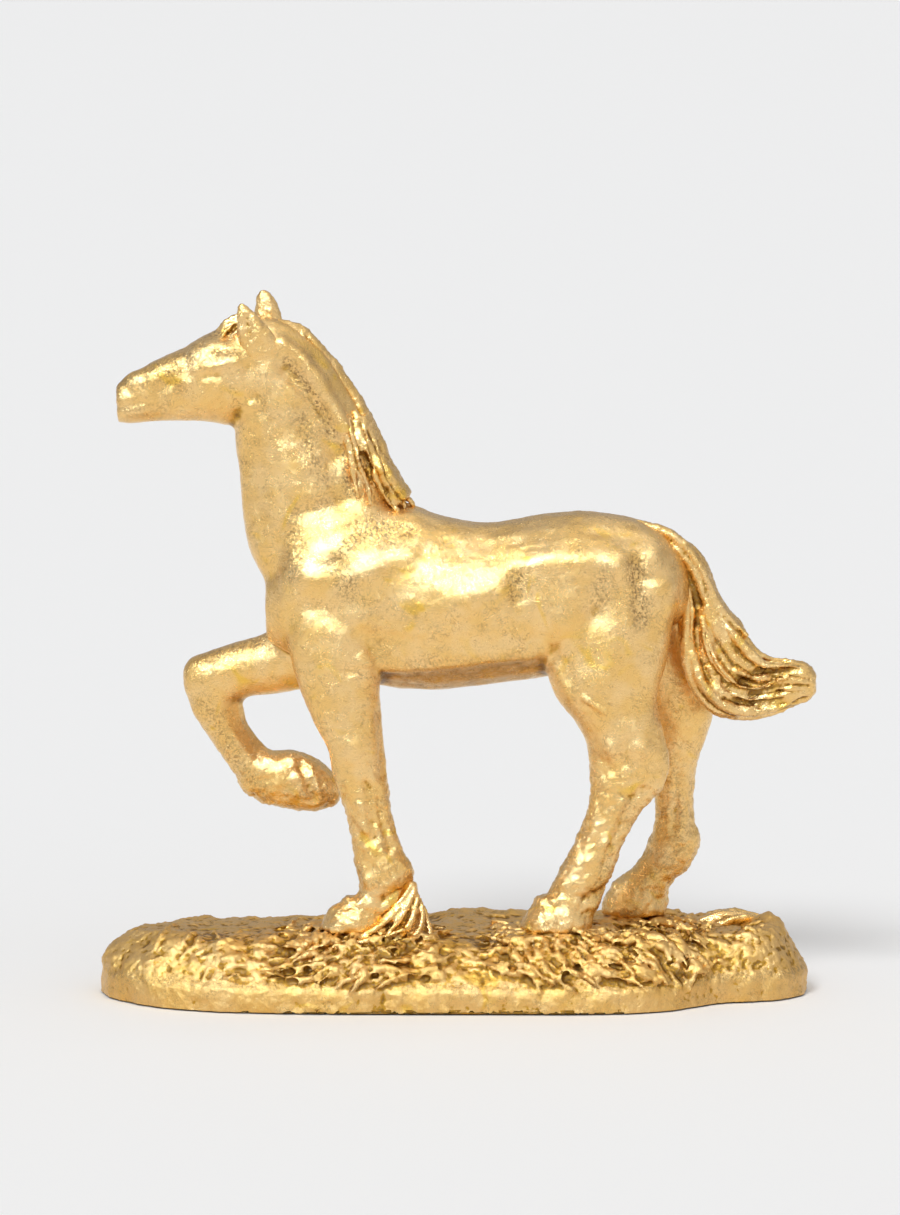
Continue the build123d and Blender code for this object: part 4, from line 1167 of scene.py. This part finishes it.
# The roots of the locks that fall on the far side, as x, z, and how each one falls from its root.
FAR_ROOTS = [
    (-41, 158.6), (-38, 155.6), (-35, 151.8), (-32.4, 147.6), (-29.8, 143.4), (-27.4, 139.2), (-25.4, 134.8),
]
FAR_FALL = [(0, 1.5, 0), (0.5, 5.2, -1), (1, 8.2, -6), (-0.5, 9, -12), (1.5, 9.4, -18)]
for root_x, root_z in FAR_ROOTS:
    CREST_LOCKS.append(([(root_x + x, y, root_z + z) for x, y, z in FAR_FALL], 1.7))
CREST_GROOVES = [
    ("near", 0.6, -0.6, [(-42, 160.6), (-38, 157.6), (-35, 153), (-33, 148.6)]),
    ("near", 0.5, -0.5, [(-36.6, 159), (-33.6, 154.6), (-31, 149)]),
    ("near", 0.6, -0.6, [(-33, 154), (-30, 149.4), (-28, 143.6)]),
    ("near", 0.5, -0.5, [(-29.6, 149), (-27, 144.6), (-25.6, 139)]),
    ("near", 0.6, -0.5, [(-31.6, 147), (-29.4, 141.6), (-28, 137)]),
    ("near", 0.5, -0.5, [(-27, 146), (-24.6, 141.6), (-23.4, 137)]),
]
hair_piece("mane_crest", CREST_LOCKS, [CREST_CORE], CREST_GROOVES)

MANE_CORE = [
    (-25.8, 0, 138.8, 296, 4.9, 6), (-22.8, 0, 130.8, 294, 4.8, 7.5), (-18.6, 0, 124.2, 300, 4.5, 7.9),
    (-13.8, 0, 119.4, 310, 2.9, 5.4),
]
MANE_LOCKS = [
    ([
        (-29.6, -3.4, 142), (-27, -5.6, 138.6), (-25.6, -6.8, 134),
        (-24.4, -7.6, 128.6), (-21.6, -8.2, 123.4), (-21.4, -8.2, 119),
    ], 1.3),
    ([(-28.4, -4.6, 138), (-27, -6.2, 134.4), (-26, -7.2, 129.4), (-25, -7.8, 124.4), (-24, -8, 120.6)], 0.9),
    ([(-26.4, -5, 139.6), (-24.4, -7, 134.6), (-24.2, -7.8, 129), (-22.4, -8.4, 124)], 1.2),
    ([
        (-25.4, -3, 141), (-22.4, -5, 136.6), (-22.4, -6.6, 131.4),
        (-19, -7.2, 126), (-17.8, -7, 120.6), (-14.6, -5.4, 117.4),
    ], 1.3),
    ([
        (-23.4, -2, 139.4), (-20.4, -3.5, 134), (-19.4, -5.2, 128.6),
        (-16, -5.2, 122.8), (-13, -3.5, 118),
    ], 1.2),
    ([(-22, -1, 139.6), (-19.4, -1.5, 133), (-17, -2.5, 127.4), (-14.4, -2, 122), (-10.8, -1, 118)], 1.2),
    ([(-21.6, 0, 139.4), (-19, -0.6, 134.2), (-17.2, -0.8, 129.2), (-15, -0.6, 125.6)], 0.9),
]
MANE_GROOVES = [
    ("both", 0.5, -0.8, [(-27.6, 139), (-26, 134), (-24.6, 128), (-22.6, 122.6)]),
    ("both", 0.5, -0.8, [(-25.6, 139.6), (-23.8, 134.6), (-22.6, 129), (-20.4, 123.4), (-18.8, 118.6)]),
    ("both", 0.5, -0.8, [(-23.6, 138.6), (-21.4, 133.4), (-20, 128), (-17.4, 122.6), (-15.6, 118.6)]),
    ("both", 0.5, -0.8, [(-21.6, 137), (-19.4, 132), (-17.6, 127), (-15, 122), (-13, 118.8)]),
    ("both", 0.8, -1.2, [(-22.8, 131), (-21.4, 127.6)]),
    ("both", 0.8, -1.1, [(-18.6, 126), (-17, 122)]),
    ("both", 0.6, -0.8, [(-24.8, 136.6), (-24.4, 133)]),
    ("both", 0.5, 0.6, [(-24.6, 131), (-23.4, 126.6)]),
    ("both", 0.5, 0.6, [(-19.6, 130.4), (-18, 126)]),
]
MANE_LOCKS += [([(x, -y, z) for x, y, z in route], thick) for route, thick in MANE_LOCKS]
hair_piece("mane_locks", MANE_LOCKS, [MANE_CORE], MANE_GROOVES)


# ----------------------------------------------------------------- the forelock
# A short tuft of locks that falls from between the ears on to the forehead, cast apart and
# brazed on at the poll.

FORELOCK_CORE = [
    (-47.5, 0, 161.8, 185, 1.8, 2.2), (-52, 0, 161, 190, 2.6, 3.4), (-55.6, 0, 160, 205, 2.2, 3),
    (-57.6, 0, 158.8, 215, 1, 1.4),
]
FORELOCK_LOCKS = [
    ([(-48, -1.5, 161.6), (-52, -2.8, 163), (-55, -3.2, 161.8), (-56.8, -3.4, 159.6), (-57, -3.4, 157)], 0.9),
    ([(-48, 0, 162.6), (-52, 0, 164), (-55.2, 0, 162.6), (-57.4, 0, 160.5), (-59, 0, 159)], 1.0),
    ([(-48, 1.5, 161.6), (-52, 2.8, 163), (-55, 3.2, 161.8), (-56.8, 3.4, 159.6), (-57, 3.4, 157)], 0.9),
    ([(-50, -2.6, 161.6), (-53, -4, 161), (-54.6, -4.6, 158.6), (-54.6, -5, 156)], 0.8),
    ([(-50, 2.6, 161.6), (-53, 4, 161), (-54.6, 4.6, 158.6), (-54.6, 5, 156)], 0.8),
]
FORELOCK_GROOVES = [
    ("both", 0.5, -0.6, [(-50, 162.6), (-53.6, 161.4), (-55.4, 158.6)]),
    ("both", 0.5, -0.6, [(-51, 163.8), (-55, 162.2), (-57.4, 159.8)]),
]
hair_piece("forelock", FORELOCK_LOCKS, [FORELOCK_CORE], FORELOCK_GROOVES)


# ---------------------------------------------------------------------- the ears
# Two leaf-shaped ears, pricked and hollow at the front, cast apart and brazed on at the poll.
# Each is drawn out of clay to a tip and gilded with the same leaf as the head.

EAR_GRAIN = 0.35 * MM
EAR_LEFT = [
    (-44.4, -4, 150.6, 118, 3.8, 2.1), (-47, -5.3, 155.6, 115, 4.6, 2.2), (-49.1, -5.8, 160, 110, 3.9, 2),
    (-50.9, -5.9, 164, 108, 2.3, 1.5), (-52, -5.6, 166.6, 105, 0.9, 0.8), (-52.2, -5.6, 167.2, 105, 0.3, 0.3),
]
EAR_RIGHT = [
    (-45.6, 4.8, 158, 100, 3.2, 2.3), (-46, 5.2, 162, 100, 3.3, 2.2), (-46.3, 5.4, 165.5, 98, 2.9, 1.8),
    (-46.9, 5.4, 168.2, 95, 1.8, 1.2), (-47, 5.4, 169.4, 95, 0.6, 0.5),
]
EAR_HOLLOWS = [
    ("both", 0.9, -0.6, [(-50.6, 163.6), (-50, 159)]),
    ("both", 0.8, -0.5, [(-46.8, 167), (-46.4, 163)]),
]
for ear_name, rows in (("ear_left", EAR_LEFT), ("ear_right", EAR_RIGHT)):
    ear = drawn_clay(ear_name, rows, sides=16)
    kneaded(ear, EAR_GRAIN, 2)
    tooled(ear, EAR_HOLLOWS)
    lumped(ear, HAIR_LUMPS)
    mark_shade_and_glaze(ear, rounds=20, depth=0.3)
    bpy.ops.object.shade_smooth_by_angle(angle=HAIR_EDGE)
    gilded(ear, ear_name + "_gilded", horse_gold, ear_name)


# ------------------------------------------------------------ what is out of sight
# Bronze pins between the castings, zinc-plated studs, nuts and washers that hold the hoofs down,
# the hardboard that closes the base with its screws, and the felt it stands on. They keep the
# plain shapes of the CAD and only get their finishes.

def grained(name, colour, other, scale, roughness, metallic):
    """A plain finish broken up by two close colours in a fine grain."""
    material = plain_material(name, colour, roughness, metallic)
    tree = material.node_tree
    place = tree.nodes.new("ShaderNodeTexCoord")
    grain = tree.nodes.new("ShaderNodeTexNoise")
    grain.inputs["Scale"].default_value = scale
    grain.inputs["Detail"].default_value = 4
    mixer = tree.nodes.new("ShaderNodeMix")
    mixer.data_type = "RGBA"
    mixer.inputs["A"].default_value = colour
    mixer.inputs["B"].default_value = other
    bump = tree.nodes.new("ShaderNodeBump")
    bump.inputs["Strength"].default_value = 0.3
    bump.inputs["Distance"].default_value = 0.1 * MM
    shader = tree.nodes["Principled BSDF"]
    tree.links.new(place.outputs["Object"], grain.inputs["Vector"])
    tree.links.new(grain.outputs["Fac"], mixer.inputs["Factor"])
    tree.links.new(mixer.outputs["Result"], shader.inputs["Base Color"])
    tree.links.new(grain.outputs["Fac"], bump.inputs["Height"])
    tree.links.new(bump.outputs["Normal"], shader.inputs["Normal"])
    return material


HIDDEN_FINISHES = {
    "bronze_pin": grained("bronze_pin", (0.45, 0.27, 0.11, 1), (0.32, 0.18, 0.07, 1), 600, 0.4, 1.0),
    "zinc": grained("zinc", (0.62, 0.63, 0.64, 1), (0.48, 0.49, 0.51, 1), 900, 0.35, 1.0),
    "hardboard": grained("hardboard", (0.20, 0.12, 0.065, 1), (0.13, 0.075, 0.04, 1), 1500, 0.85, 0.0),
    "dark_felt": grained("dark_felt", (0.035, 0.028, 0.024, 1), (0.07, 0.058, 0.05, 1), 2600, 1.0, 0.0),
}
for name, node_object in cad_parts.items():
    if name.endswith("_dowel"):
        finish = "bronze_pin"
    elif "stud" in name or "screw" in name:
        finish = "zinc"
    elif name == "bottom_board":
        finish = "hardboard"
    elif name == "felt_pad":
        finish = "dark_felt"
    else:
        continue
    node_object.data.materials.clear()
    node_object.data.materials.append(HIDDEN_FINISHES[finish])
